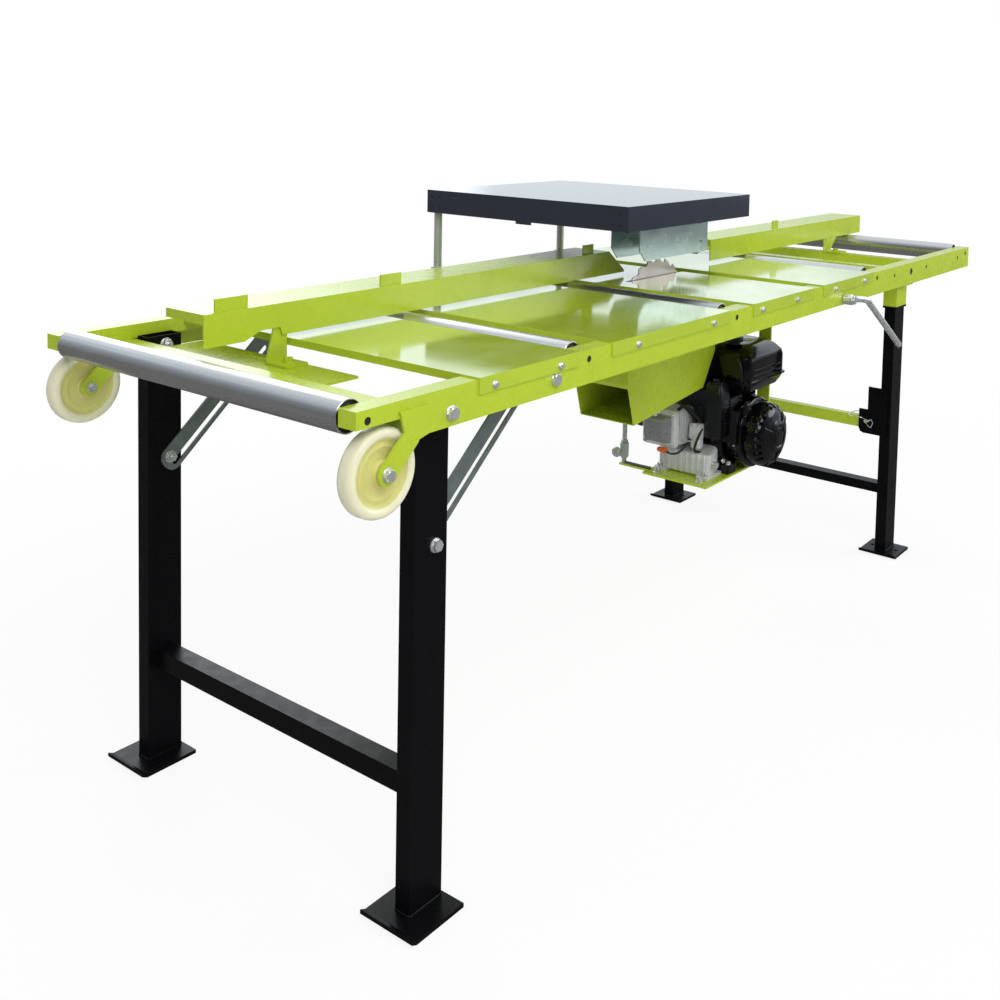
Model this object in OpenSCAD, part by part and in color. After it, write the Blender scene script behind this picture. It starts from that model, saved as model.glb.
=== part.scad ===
// Board edger: a folding roller table with a petrol engine, a small rip blade,
// two fences and a height-adjustable guard. Millimetres, Z up.
// Every piece is drawn in the table's own frame, with X from the feed end to the
// rear, Y from the near rail to the far one, and is then moved to the origin,
// which is the middle of the footprint, on the floor.

/* [Table frame] */
// Length of both side rails
table_l = 2930; // [2700:10:3200]
// Width over the outer faces of the rails
table_w = 890; // [800:10:1000]
// Height of the rails' top faces above the floor
table_z = 945; // [900:5:1000]
// Width of a rail
rail_w = 40; // [36:1:50]
// Height of a rail's outer web
rail_h = 68; // [60:1:80]
// Sheet thickness of the rails
rail_t = 3; // [2:0.5:4]
// Height of a rail's inner web and of the stepped feed end
rail_lip = 30; // [26:1:36]
// Length of the stepped feed end over the casters
notch_l = 130; // [110:1:150]

/* [Table plates] */
// Thickness of the table plates
plate_t = 3; // [2:0.5:4]
// Drop of the plates' side flanges over the rails
flange_h = 27; // [20:1:35]
// Drop of the lip along each plate's feed edge
lip_h = 12; // [6:1:13]
// Start of each plate from the feed end
plate_starts = [285, 690, 1296, 1700];
// End of each plate from the feed end
plate_ends = [577, 1181, 1641, 2045];

/* [Rollers] */
// Diameter of the rollers
roller_d = 58; // [50:1:62]
// Wall of the roller tubes
roller_t = 3; // [2:0.5:5]
// Diameter of the roller axles
axle_d = 12; // [10:1:14]
// Distance of the table rollers' axes below the rails' top
roller_drop = 19; // [18:1:21]
// Place of each roller from the feed end, the two end rollers included
roller_xs = [25, 614, 1216, 2083, 2893];

/* [Casters] */
// Diameter of the caster wheels
wheel_d = 150; // [130:1:155]
// Width of a wheel's tread
wheel_w = 34; // [26:1:34]
// Wheel axle from the feed end
wheel_x = 65; // [60:1:70]
// Wheel axle below the rails' top
wheel_drop = 114; // [112:1:118]
// Thickness of the fork plates
fork_t = 5; // [4:0.5:6]

/* [Front legs] */
// Length of a front leg's section along the table
leg_l = 80; // [60:1:80]
// Width of a leg's section across the table
leg_w = 35; // [30:1:40]
// Wall of the leg tubes
leg_t = 3; // [2:0.5:4]
// Pivot of the front legs from the feed end
pivot_x = 217; // [214:1:220]
// Pivot of the front legs below the rails' top
pivot_drop = 45; // [42:1:48]
// Diameter of the leg pivots
pivot_d = 14; // [12:1:16]
// Length of a foot plate along the table
foot_l = 118; // [100:1:130]
// Width of a foot plate across the table
foot_w = 126; // [110:1:130]
// Thickness of the foot plates
foot_t = 8; // [5:1:10]
// Height of the front legs' brace above the floor
brace_z = 205; // [150:5:300]
// Height of the brace's section
brace_h = 40; // [30:1:50]
// Width of the brace's section
brace_l = 40; // [25:1:50]

/* [Stays] */
// Lower bolt of a stay from the feed end
stay_x = 225; // [215:1:235]
// Lower bolt of a stay above the floor
stay_z = 658; // [640:1:680]
// Pivot of a stay from the feed end
stay_pivot_x = 505; // [490:1:520]
// Pivot of a stay below the rails' top
stay_drop = 40; // [38:1:44]
// Thickness of the stays
stay_t = 4; // [3:0.5:5]
// Width of the stays
stay_w = 54; // [46:1:60]
// Width of the slot in the stays
slot_w = 12; // [11:0.5:14]

/* [Rear legs] */
// Feed-side face of the rear legs from the feed end
rear_leg_x = 2313; // [2250:1:2330]
// Length of a rear leg's section along the table
rear_leg_l = 75; // [60:1:80]
// Gap between a rail's outer face and the rear leg
rear_leg_y = 27; // [25:1:30]
// Length of the clamp sockets under the rails
socket_h = 72; // [60:1:90]
// Wall of the clamp sockets
socket_t = 4; // [3:0.5:6]
// Height of the tie bar above the floor
tie_z = 400; // [380:5:480]
// Height of the tie bar's section
tie_h = 36; // [25:1:40]

/* [Fences] */
// Near face of the front fence from the near rail
fence_y = 500; // [480:1:520]
// Near face of the rear fence from the near rail
rear_fence_y = 440; // [432:1:460]
// Height of the fences
fence_h = 64; // [50:1:90]
// Width of the fences' top flange
fence_w = 118; // [90:1:130]
// Sheet thickness of the fences
fence_t = 4; // [3:0.5:5]
// Feed end of the front fence
fence_x0 = 85; // [60:1:110]
// Rear end of the front fence's top
fence_x1 = 1395; // [1300:5:1400]
// Feed end of the rear fence
rear_fence_x0 = 1850; // [1820:5:1900]
// Rear end of the rear fence
rear_fence_x1 = 2995; // [2900:5:3050]
// Clearance of the fences above the rollers
fence_clear = 1.5; // [1:0.5:4]

/* [Saw] */
// Diameter of the saw blade
blade_d = 355; // [300:1:356]
// Thickness of the saw blade
blade_t = 3; // [2:0.1:4]
// Number of teeth on the blade
teeth = 24; // [12:2:40]
// Blade's centre plane from the near rail
blade_y = 420; // [415:1:425]
// Blade's axis from the feed end
blade_x = 1510; // [1500:1:1515]
// Height of the blade above the rails' top
blade_rise = 54; // [30:1:56]
// Diameter of the arbor shaft
arbor_d = 30; // [20:1:35]
// Outer diameter of the arbor's bearing housing
housing_d = 64; // [50:1:66]
// Diameter of the arbor pulley
arbor_pulley_d = 100; // [80:1:105]
// Diameter of the engine pulley
engine_pulley_d = 110; // [80:1:115]
// Width of the drive belt
belt_w = 13; // [10:1:16]
// Thickness of the drive belt
belt_t = 8; // [6:0.5:10]

/* [Chute] */
// Near wall of the chute from the near rail
chute_y0 = 330; // [325:1:340]
// Far wall of the chute from the near rail
chute_y1 = 503; // [495:1:505]
// Sheet thickness of the chute
chute_t = 2.5; // [1.5:0.5:3]
// Depth of the chute below the rails' top
chute_drop = 359; // [350:1:365]

/* [Guard] */
// Feed side of the hood
hood_x0 = 1080; // [1060:1:1085]
// Rear side of the hood
hood_x1 = 1690; // [1680:1:1700]
// Near side of the hood from the near rail
hood_y0 = 228; // [200:1:260]
// Height of the hood's top above the rails' top
hood_rise = 237; // [220:1:260]
// Depth of the hood
hood_h = 62; // [50:1:70]
// Sheet thickness of the hood
hood_t = 2.5; // [1.5:0.5:3]
// Diameter of the hood's posts
post_d = 22; // [18:1:24]
// Feed end of the guard plates
guard_x0 = 1355; // [1340:1:1370]
// Rear end of the guard plates
guard_x1 = 1712; // [1700:1:1720]
// Gap between the blade and each guard plate
guard_gap = 44; // [35:1:50]
// Thickness of the guard plates
guard_t = 3; // [2:0.5:4]

/* [Engine] */
// Crankshaft from the feed end
crank_x = 1800; // [1795:1:1805]
// Crankshaft below the rails' top
crank_drop = 470; // [465:1:475]
// Diameter of the crankshaft's output end
crank_d = 25; // [20:1:28]
// Outer face of the recoil cover from the near rail
recoil_y = 162; // [150:1:170]
// Diameter of the recoil cover
recoil_d = 184; // [170:1:190]
// Engine platform below the rails' top
platform_drop = 585; // [580:1:595]
// Thickness of the engine platform
platform_t = 6; // [4:1:8]

/* [Hidden] */
$fn = 48;

// Gap between pieces on different bodies, and radial play of a shaft in its bore
gap = 0.3;
play = 0.05;

// Paint and metal
green = "#b9cf45";
black = "#17171a";
steel = "#a9abad";
zinc = "#c9ccd0";
cream = "#ece7a8";

rail_bottom = table_z - rail_h;
lip_bottom = table_z - rail_lip;
far_y = table_w - rail_w;
pivot_z = table_z - pivot_drop;
crank_z = table_z - crank_drop;
platform_z = table_z - platform_drop;
foot_out = 8;
rear_foot_out = 15;
ski_l = 12;
ski_h = 14;

// Footprint
fence_reach = max(rear_fence_x1, table_l);
caster_reach = wheel_d / 2 - wheel_x;
lever_out = 44;
lever_d = 16;
near_reach = lever_out + lever_d / 2;
mid_x = (fence_reach - caster_reach) / 2;
mid_y = (table_w + rear_foot_out - near_reach) / 2;

// Moves a drawing from the table's frame to the origin of the part
module placed() {
    translate([-mid_x, -mid_y, 0])
        children();
}

// Mirrors a near-side drawing to the far side of the table
module far_side() {
    translate([0, table_w, 0])
        mirror([0, 1, 0])
            children();
}

module both_sides() {
    children();
    far_side() children();
}

module block(x0, y0, z0, x1, y1, z1) {
    translate([x0, y0, z0])
        cube([x1 - x0, y1 - y0, z1 - z0]);
}

// Round bar along Y from y0 to y1
module bar_y(x, z, y0, y1, d) {
    translate([x, y0, z])
        rotate([-90, 0, 0])
            cylinder(d = d, h = y1 - y0);
}

// Hexagon head or nut along Y
module hex_y(x, z, y0, y1, across) {
    translate([x, y0, z])
        rotate([-90, 0, 0])
            cylinder(d = across / cos(30), h = y1 - y0, $fn = 6);
}

// Round bar along X from x0 to x1
module bar_x(y, z, x0, x1, d) {
    translate([x0, y, z])
        rotate([0, 90, 0])
            cylinder(d = d, h = x1 - x0);
}

// A drawing in the X and Z plane, given thickness along Y
module sheet_y(y0, y1) {
    translate([0, y1, 0])
        rotate([90, 0, 0])
            linear_extrude(y1 - y0)
                children();
}

// A drawing in the Y and Z plane, given thickness along X
module sheet_x(x0, x1) {
    translate([x0, 0, 0])
        rotate([90, 0, 90])
            linear_extrude(x1 - x0)
                children();
}

// Flat link with round ends in the X and Z plane
module link2d(a, b, ra, rb) {
    dir = (b - a) / norm(b - a);
    side = [-dir[1], dir[0]];
    translate(a) circle(r = ra);
    translate(b) circle(r = rb);
    polygon([a + side * ra, b + side * rb, b - side * rb, a - side * ra]);
}

// Side rails

rail_hole_d = 14;
big_hole_d = 22;
rear_holes = [2223, 2503, 2811];
big_hole_x = 2365;

module rail() {
    axle_z = table_z - roller_drop;
    difference() {
        union() {
            block(0, 0, table_z - rail_t, table_l, rail_w, table_z);
            block(0, 0, lip_bottom, table_l, rail_t, table_z - rail_t);
            block(notch_l, 0, rail_bottom, table_l, rail_t, lip_bottom);
            block(0, rail_w - rail_t, lip_bottom, table_l, rail_w, table_z - rail_t);
            block(0, rail_t, lip_bottom, rail_t, rail_w - rail_t, table_z - rail_t);
            block(table_l - rail_t, rail_t, lip_bottom, table_l, rail_w - rail_t, table_z - rail_t);
        }
        for (x = roller_xs) {
            bar_y(x, axle_z, -1, rail_w / 2, rail_hole_d);
            bar_y(x, axle_z, rail_w / 2, rail_w + 1, axle_d + 2 * play);
        }
        for (x = rear_holes)
            bar_y(x, axle_z - 8, -1, rail_w / 2, rail_hole_d - 2);
        bar_y(big_hole_x, axle_z - 10, -1, rail_w / 2, big_hole_d);
        bar_y(pivot_x, pivot_z, -1, rail_w / 2, pivot_d);
        bar_y(stay_pivot_x, table_z - stay_drop, -1, rail_w / 2, stay_pivot_d);
        bar_y(lever_x, lever_z, -1, rail_w / 2, lever_shaft_d + 2 * play);
    }
}

module near_rail() {
    color(green) placed() rail();
}

module far_rail() {
    color(green) placed()
        difference() {
            far_side() rail();
            for (x = post_xs)
                translate([x, post_y, table_z - rail_t - 1])
                    cylinder(d = post_d + 2 * gap, h = rail_t + 2);
        }
}

// Cross members

tube_x = 120;
tube_l = 46;
tube_top = table_z - 30;
tube_h = 40;
shelf_l = 118;
shelf_t = 5;
shelf_y0 = 300;
shelf_y1 = table_w - 110;
shelf_z = tube_top - 12;

module front_cross_tube() {
    color(green) placed() {
        difference() {
            block(tube_x, rail_w + fork_t, tube_top - tube_h, tube_x + tube_l, far_y - fork_t, tube_top);
            block(tube_x + rail_t, rail_w, tube_top - tube_h + rail_t,
                tube_x + tube_l - rail_t, far_y, tube_top - rail_t);
        }
        difference() {
            block(tube_x + tube_l, shelf_y0, shelf_z - shelf_t,
                tube_x + tube_l + shelf_l, shelf_y1, shelf_z);
            translate([foot_slot_x, fence_y - foot_pad / 2, shelf_z - shelf_t - 1])
                block(-bolt_d / 2 - 1, -bolt_d, 0, bolt_d / 2 + 1, fence_travel + bolt_d, shelf_t + 2);
        }
    }
}

member_xs = [740, 1140, 1750, 1975, 2450];
member_l = 40;
member_h = 30;
member_t = 3;
member_top = rail_bottom + member_h;
rear_tube_x = 2690;
beam_y0 = 530;
beam_y1 = 590;
beam_h = 16;

// A folded channel, open below, between the rails' lips and webs
module member(x) {
    difference() {
        block(x, rail_t, rail_bottom, x + member_l, table_w - rail_t, member_top);
        block(x + member_t, rail_t - 1, rail_bottom - 1,
            x + member_l - member_t, table_w, member_top - member_t);
    }
}

module cross_members() {
    color(green) placed() {
        for (x = member_xs)
            member(x);
        member(rear_tube_x);
    }
}

// Flat beam between two members, over the arbor and the hanging rod
module arbor_beam() {
    color(green) placed()
        block(member_xs[1] + member_l, beam_y0, rail_bottom, member_xs[2], beam_y1, rail_bottom + beam_h);
}

// Table plates

module table_plate(i) {
    x0 = plate_starts[i];
    x1 = plate_ends[i];
    top = table_z + plate_t;
    block(x0, -plate_t, table_z, x1, table_w + plate_t, top);
    block(x0, -plate_t, table_z - flange_h, x1, 0, table_z);
    block(x0, table_w, table_z - flange_h, x1, table_w + plate_t, table_z);
    block(x0, rail_w, table_z - lip_h, x0 + plate_t, far_y, table_z);
}

slot_gap = 5;
rip_slot_x = 1366;

module table_plate_1() {
    color(green) placed() table_plate(0);
}

module table_plate_2() {
    color(green) placed()
        difference() {
            table_plate(1);
            translate([post_xs[0], post_y, table_z - 1])
                cylinder(d = post_d + 2 * gap, h = plate_t + 2);
        }
}

module table_plate_3() {
    color(green) placed()
        difference() {
            table_plate(2);
            block(rip_slot_x, blade_y - blade_t / 2 - slot_gap, table_z - 1,
                plate_ends[2] + 1, blade_y + blade_t / 2 + slot_gap, table_z + plate_t + 1);
        }
}

module table_plate_4() {
    color(green) placed() table_plate(3);
}

screw_xs = [327, 518, 786, 1100, 1343, 1538, 1779, 1980];
screw_drop = 16;
screw_head = 4;

module plate_screws() {
    color(zinc) placed()
        both_sides()
            for (x = screw_xs) {
                bar_y(x, table_z - screw_drop, -plate_t - 2, -plate_t, 16);
                hex_y(x, table_z - screw_drop, -plate_t - 2 - screw_head, -plate_t - 2, 10);
            }
}

// Rollers

roller_gap = 3;
cap_w = 12;

// A steel tube with a bearing pressed into each end
module roller(x) {
    axle_z = table_z - roller_drop;
    y0 = rail_w + roller_gap;
    y1 = far_y - roller_gap;
    difference() {
        bar_y(x, axle_z, y0, y1, roller_d);
        bar_y(x, axle_z, y0 - 1, y1 + 1, roller_d - 2 * roller_t);
    }
    for (y = [y0, y1 - cap_w])
        difference() {
            bar_y(x, axle_z, y, y + cap_w, roller_d - 2 * roller_t);
            bar_y(x, axle_z, y - 1, y + cap_w + 1, axle_d + 2 * play);
        }
}

module front_roller() {
    color(steel) placed() roller(roller_xs[0]);
}

module roller_1() {
    color(steel) placed() roller(roller_xs[1]);
}

module roller_2() {
    color(steel) placed() roller(roller_xs[2]);
}

module roller_3() {
    color(steel) placed() roller(roller_xs[3]);
}

module rear_roller() {
    color(steel) placed() roller(roller_xs[4]);
}

module roller_axles() {
    color(zinc) placed()
        for (x = roller_xs)
            bar_y(x, table_z - roller_drop, rail_t + 1, table_w - rail_t - 1, axle_d);
}

// Casters

wheel_z = table_z - wheel_drop;
wheel_bolt_d = 12;
hub_d = 44;
hub_w = rail_w - 2 * gap - 2;
fork_top_x = 118;
fork_top_z = lip_bottom - 10;

module caster_fork_plate() {
    difference() {
        union() {
            link2d([wheel_x, wheel_z], [fork_top_x, fork_top_z - 24], 19, 19);
            polygon([[fork_top_x - 26, lip_bottom + 12], [fork_top_x + 40, lip_bottom + 12],
                [fork_top_x + 40, rail_bottom + 2], [fork_top_x + 15, fork_top_z - 32],
                [fork_top_x - 14, fork_top_z - 20]]);
        }
        translate([wheel_x, wheel_z]) circle(d = wheel_bolt_d + 2 * play);
    }
}

module caster_forks() {
    color(green) placed()
        both_sides() {
            sheet_y(-fork_t, 0) caster_fork_plate();
            sheet_y(rail_w, rail_w + fork_t) caster_fork_plate();
        }
}

tread_r = 9;

// Solid nylon wheel with rounded tread edges, a dished web and a hub
module caster_wheel() {
    r = wheel_d / 2;
    mid = rail_w / 2;
    translate([wheel_x, mid, wheel_z])
        rotate([-90, 0, 0])
            rotate_extrude($fn = 96)
                difference() {
                    union() {
                        translate([r - 2 * tread_r, -wheel_w / 2 + tread_r])
                            square([2 * tread_r, wheel_w - 2 * tread_r]);
                        translate([r - 3 * tread_r, -wheel_w / 2])
                            square([2 * tread_r, wheel_w]);
                        for (s = [-1, 1])
                            translate([r - tread_r, s * (wheel_w / 2 - tread_r)])
                                circle(r = tread_r);
                        translate([0, -wheel_w / 2 + 6])
                            square([r - 2 * tread_r, wheel_w - 12]);
                        translate([0, -hub_w / 2])
                            square([hub_d / 2, hub_w]);
                    }
                    translate([-1, -wheel_w])
                        square([1 + wheel_bolt_d / 2 + play, 2 * wheel_w]);
                }
}

module near_caster_wheel() {
    color(cream) placed() caster_wheel();
}

module far_caster_wheel() {
    color(cream) placed() far_side() caster_wheel();
}

// Bolts that legs, stays and wheels turn on

stay_pivot_d = 14;
leg_y0 = rail_w + gap;
leg_y1 = leg_y0 + leg_w;
stay_y0 = leg_y1 + gap;
stay_y1 = stay_y0 + stay_t;
head_t = 8;
nut_t = 9;
washer_t = 2;

module pivot_bolts_near() {
    stay_pivot_z = table_z - stay_drop;
    // Wheel axle
    hex_y(wheel_x, wheel_z, -fork_t - head_t, -fork_t, 19);
    bar_y(wheel_x, wheel_z, -fork_t, rail_w + fork_t, wheel_bolt_d);
    hex_y(wheel_x, wheel_z, rail_w + fork_t, rail_w + fork_t + nut_t, 19);
    // Leg pivot
    hex_y(pivot_x, pivot_z, -washer_t - head_t, -washer_t, 22);
    bar_y(pivot_x, pivot_z, -washer_t, 0, 28);
    bar_y(pivot_x, pivot_z, 0, leg_y1 + gap + 1, pivot_d);
    bar_y(pivot_x, pivot_z, rail_t, rail_w, 22);
    bar_y(pivot_x, pivot_z, leg_y1 + gap, leg_y1 + gap + washer_t, 28);
    hex_y(pivot_x, pivot_z, leg_y1 + gap + washer_t, leg_y1 + gap + washer_t + nut_t, 22);
    // Stay pivot
    hex_y(stay_pivot_x, stay_pivot_z, -washer_t - head_t, -washer_t, 22);
    bar_y(stay_pivot_x, stay_pivot_z, -washer_t, 0, 24);
    bar_y(stay_pivot_x, stay_pivot_z, 0, stay_y1 + gap + 1, stay_pivot_d);
    bar_y(stay_pivot_x, stay_pivot_z, stay_y1 + gap, stay_y1 + gap + nut_t, 24);
}

module pivot_bolts() {
    color(zinc) placed() both_sides() pivot_bolts_near();
}

// Front legs

leg_x = pivot_x - leg_l / 2 - 3;
leg_top = pivot_z + 20;
foot_x = leg_x - 31;

// Foot plate with its feed edge turned up, around a leg that starts at y0
module foot_plate(x0, y0, l, w) {
    block(x0, y0, 0, x0 + l, y0 + w, foot_t);
    sheet_y(y0, y0 + w)
        polygon([[x0, 0], [x0 - ski_l, ski_h - foot_t], [x0 - ski_l, ski_h],
            [x0, foot_t]]);
}

module front_leg() {
    difference() {
        union() {
            block(leg_x, leg_y0, foot_t, leg_x + leg_l, leg_y1, leg_top);
            foot_plate(foot_x, -foot_out, foot_l, foot_w);
        }
        block(leg_x + leg_t, leg_y0 + leg_t, foot_t, leg_x + leg_l - leg_t, leg_y1 - leg_t, leg_top + 1);
        bar_y(pivot_x, pivot_z, leg_y0 - 1, leg_y1 + 1, pivot_d + 2 * play);
        bar_y(stay_x, stay_z, leg_y0 - 1, leg_y1 + 1, stay_bolt_d);
    }
}

module near_front_leg() {
    color(black) placed() front_leg();
}

module far_front_leg() {
    color(black) placed() far_side() front_leg();
}

module front_leg_brace() {
    x0 = leg_x + (leg_l - brace_l) / 2;
    color(black) placed()
        difference() {
            block(x0, leg_y1, brace_z, x0 + brace_l, table_w - leg_y1, brace_z + brace_h);
            block(x0 + leg_t, leg_y1 - 1, brace_z + leg_t,
                x0 + brace_l - leg_t, table_w, brace_z + brace_h - leg_t);
        }
}

stay_bolt_d = 12;

module stay_bolts() {
    color(zinc) placed()
        both_sides() {
            hex_y(stay_x, stay_z, leg_y0 - washer_t - head_t, leg_y0 - washer_t, 19);
            bar_y(stay_x, stay_z, leg_y0 - washer_t, leg_y0, 26);
            bar_y(stay_x, stay_z, leg_y0, leg_y1, stay_bolt_d);
        }
}

// Stays

stay_a = [stay_x, stay_z];
stay_b = [stay_pivot_x, table_z - stay_drop];
stay_len = norm(stay_b - stay_a);
stay_angle = atan2(stay_b[1] - stay_a[1], stay_b[0] - stay_a[0]);
stay_corner = 22;
stay_low = -34;

// Slotted stay: the long slot ends in a short foot at a right angle, where the bolt locks
module stay_plate() {
    translate(stay_a)
        rotate(stay_angle)
            difference() {
                union() {
                    translate([0, stay_low + stay_w - stay_corner]) circle(r = stay_corner);
                    translate([0, stay_low + stay_corner]) circle(r = stay_corner);
                    translate([-stay_corner, stay_low + stay_corner])
                        square([2 * stay_corner, stay_w - 2 * stay_corner]);
                    translate([0, stay_low]) square([stay_len, stay_w]);
                    translate([stay_len, stay_low + stay_w / 2]) circle(d = stay_w);
                }
                translate([-slot_w / 2, -18 - slot_w / 2 + 3]) square([slot_w, 18 + slot_w / 2 - 3]);
                circle(d = slot_w);
                translate([0, -18]) circle(d = slot_w);
                translate([0, -18 - slot_w / 2]) square([stay_len - 60, slot_w]);
                translate([stay_len - 60, -18]) circle(d = slot_w);
                translate([stay_len, 0]) circle(d = stay_pivot_d + 2 * play);
            }
}

module near_stay() {
    color("#8f9696") placed() sheet_y(stay_y0, stay_y1) stay_plate();
}

module far_stay() {
    color("#8f9696") placed() far_side() sheet_y(stay_y0, stay_y1) stay_plate();
}

module stay_nuts() {
    color(zinc) placed()
        both_sides() {
            bar_y(stay_x, stay_z, stay_y0, stay_y1 + washer_t + nut_t + 3, slot_w - 2);
            bar_y(stay_x, stay_z, stay_y1, stay_y1 + washer_t, 26);
            hex_y(stay_x, stay_z, stay_y1 + washer_t, stay_y1 + washer_t + nut_t, 17);
        }
}

// Rear legs

rear_leg_y1 = rear_leg_y + leg_w;
rear_leg_top = lip_bottom - 2;
rear_foot_l = 110;
rear_foot_w = 119;
rear_foot_hole = 13;
rear_stop_z = rail_bottom - socket_h;
socket_top = rail_bottom;

module rear_leg() {
    difference() {
        union() {
            block(rear_leg_x, rear_leg_y, foot_t, rear_leg_x + rear_leg_l, rear_leg_y1, rear_leg_top);
            foot_plate(rear_leg_x - 18, -rear_foot_out, rear_foot_l, rear_foot_w);
            // Stop collar that the socket rests on
            block(rear_leg_x - 5, rear_leg_y - 5, rear_stop_z - 6,
                rear_leg_x + rear_leg_l + 5, rear_leg_y1 + 5, rear_stop_z);
        }
        block(rear_leg_x + leg_t, rear_leg_y + leg_t, foot_t, rear_leg_x + rear_leg_l - leg_t,
            rear_leg_y1 - leg_t, rear_leg_top + 1);
        for (y = [rear_leg_y - 22, rear_leg_y1 + 22])
            translate([rear_leg_x + rear_leg_l / 2, y, -1])
                cylinder(d = rear_foot_hole, h = foot_t + 2);
    }
}

module near_rear_leg() {
    color(black) placed() {
        rear_leg();
        tie_bracket();
    }
}

module far_rear_leg() {
    color(black) placed()
        far_side() {
            rear_leg();
            tie_bracket();
        }
}

rear_brace_z = 190;
rear_brace_h = 30;

module rear_leg_brace() {
    x0 = rear_leg_x + (rear_leg_l - brace_l) / 2;
    color(black) placed()
        difference() {
            block(x0, rear_leg_y1, rear_brace_z, x0 + brace_l, table_w - rear_leg_y1,
                rear_brace_z + rear_brace_h);
            block(x0 + leg_t, rear_leg_y1 - 1, rear_brace_z + leg_t,
                x0 + brace_l - leg_t, table_w, rear_brace_z + rear_brace_h - leg_t);
        }
}

// Sleeve under the rail around the rear leg, with a clamp bolt from behind
module rear_socket() {
    x0 = rear_leg_x - gap - socket_t;
    x1 = rear_leg_x + rear_leg_l + gap + socket_t;
    y0 = rear_leg_y - gap - socket_t;
    y1 = rear_leg_y1 + gap + socket_t;
    difference() {
        union() {
            block(x0, y0, rear_stop_z + gap, x1, y1, socket_top);
            block(x0, rail_t, socket_top - 4, x1, y0, socket_top);
            block(x0, rail_t, socket_top, x1, rail_t + 4, socket_top + 20);
        }
        block(x0 + socket_t, y0 + socket_t, rear_stop_z, x1 - socket_t, y1 - socket_t, socket_top + 1);
        bar_x((y0 + y1) / 2, clamp_z, x1 - socket_t - 1, x1 + 1, clamp_d + 2 * play);
    }
}

clamp_z = rail_bottom - 36;
clamp_d = 12;

module rear_leg_sockets() {
    color(green) placed() both_sides() rear_socket();
}

module socket_clamp_bolts() {
    x1 = rear_leg_x + rear_leg_l + gap + socket_t;
    y = rear_leg_y + leg_w / 2;
    color(zinc) placed()
        both_sides() {
            bar_x(y, clamp_z, x1 - socket_t, x1 + 14, clamp_d);
            translate([x1, y, clamp_z])
                rotate([0, 90, 0])
                    cylinder(d = 19 / cos(30), h = nut_t, $fn = 6);
            translate([x1 + 14, y, clamp_z])
                rotate([0, 90, 0])
                    cylinder(d = 22, h = 10);
        }
}

bracket_t = 6;
bracket_x0 = rear_leg_x - bracket_t;
tie_l = 26;
tie_y0 = rear_leg_y1 + 4;
pin_d = 8;
pin_at = [rear_leg_y1 + 42, tie_z + 26];

// Stepped plate on a rear leg's feed side, which the end of the tie bar lies behind
module tie_bracket() {
    y1 = rear_leg_y1 + 69;
    difference() {
        sheet_x(bracket_x0, rear_leg_x)
            polygon([[rear_leg_y1 - 24, tie_z - 16], [y1 - 16, tie_z - 16], [y1 - 5, tie_z - 11], [y1, tie_z],
                [y1, tie_z + 62], [rear_leg_y1 + 40, tie_z + 62], [rear_leg_y1 + 40, tie_z + 137],
                [rear_leg_y1 - 24, tie_z + 137]]);
        bar_x(pin_at[0], pin_at[1], bracket_x0 - 1, rear_leg_x + 1, pin_d + 2 * play);
    }
}

// Bar between the rear legs' plates, held by a lock pin at each end
module tie_bar() {
    color(green) placed() {
        difference() {
            block(rear_leg_x, tie_y0, tie_z, rear_leg_x + tie_l, table_w - tie_y0, tie_z + tie_h);
            block(rear_leg_x + leg_t, tie_y0 + bracket_t, tie_z - 1,
                rear_leg_x + tie_l - leg_t, table_w - tie_y0 - bracket_t, tie_z + tie_h - leg_t);
        }
        both_sides()
            bar_x(pin_at[0], pin_at[1], bracket_x0 - 12, rear_leg_x + tie_l + 6, pin_d);
    }
}

// Fences

fence_z = table_z - roller_drop + roller_d / 2 + fence_clear;
foot_slot_x = 258;
foot_pad = 60;
bolt_d = 10;
fence_travel = 120;
arch_x0 = 175;
arch_x1 = 268;
arch_h = 16;
tab_xs = [115, 540, 1285];
tab_ls = [75, 62, 46];
tab_h = 25;

// Folded channel: near face, top flange and a short lip at the feed end
module fence_body(x0, x1, y, slant) {
    top = fence_z + fence_h;
    sheet_y(y, y + fence_t)
        polygon([[x0, fence_z], [x1 + slant, fence_z], [x1 + slant, fence_z + 6], [x1, top], [x0, top]]);
    block(x0, y + fence_t, top - fence_t, x1, y + fence_w, top);
    block(x0, y + fence_t, top - 18, x0 + fence_t, y + fence_w, top - fence_t);
}

module fence_tab(x, l, y) {
    block(x, y, fence_z + fence_h, x + l, y + fence_t, fence_z + fence_h + tab_h);
}

module fence_bolt(x, y, z) {
    translate([x, y, z]) {
        cylinder(d = 24, h = washer_t);
        translate([0, 0, washer_t]) cylinder(d = 16 / cos(30), h = 7, $fn = 6);
        translate([0, 0, -11]) cylinder(d = bolt_d, h = 11);
    }
}

pad_t = 5;
pad_z = shelf_z + gap;
foot_lap = 34;
foot_y = fence_y + fence_t + play;

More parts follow.
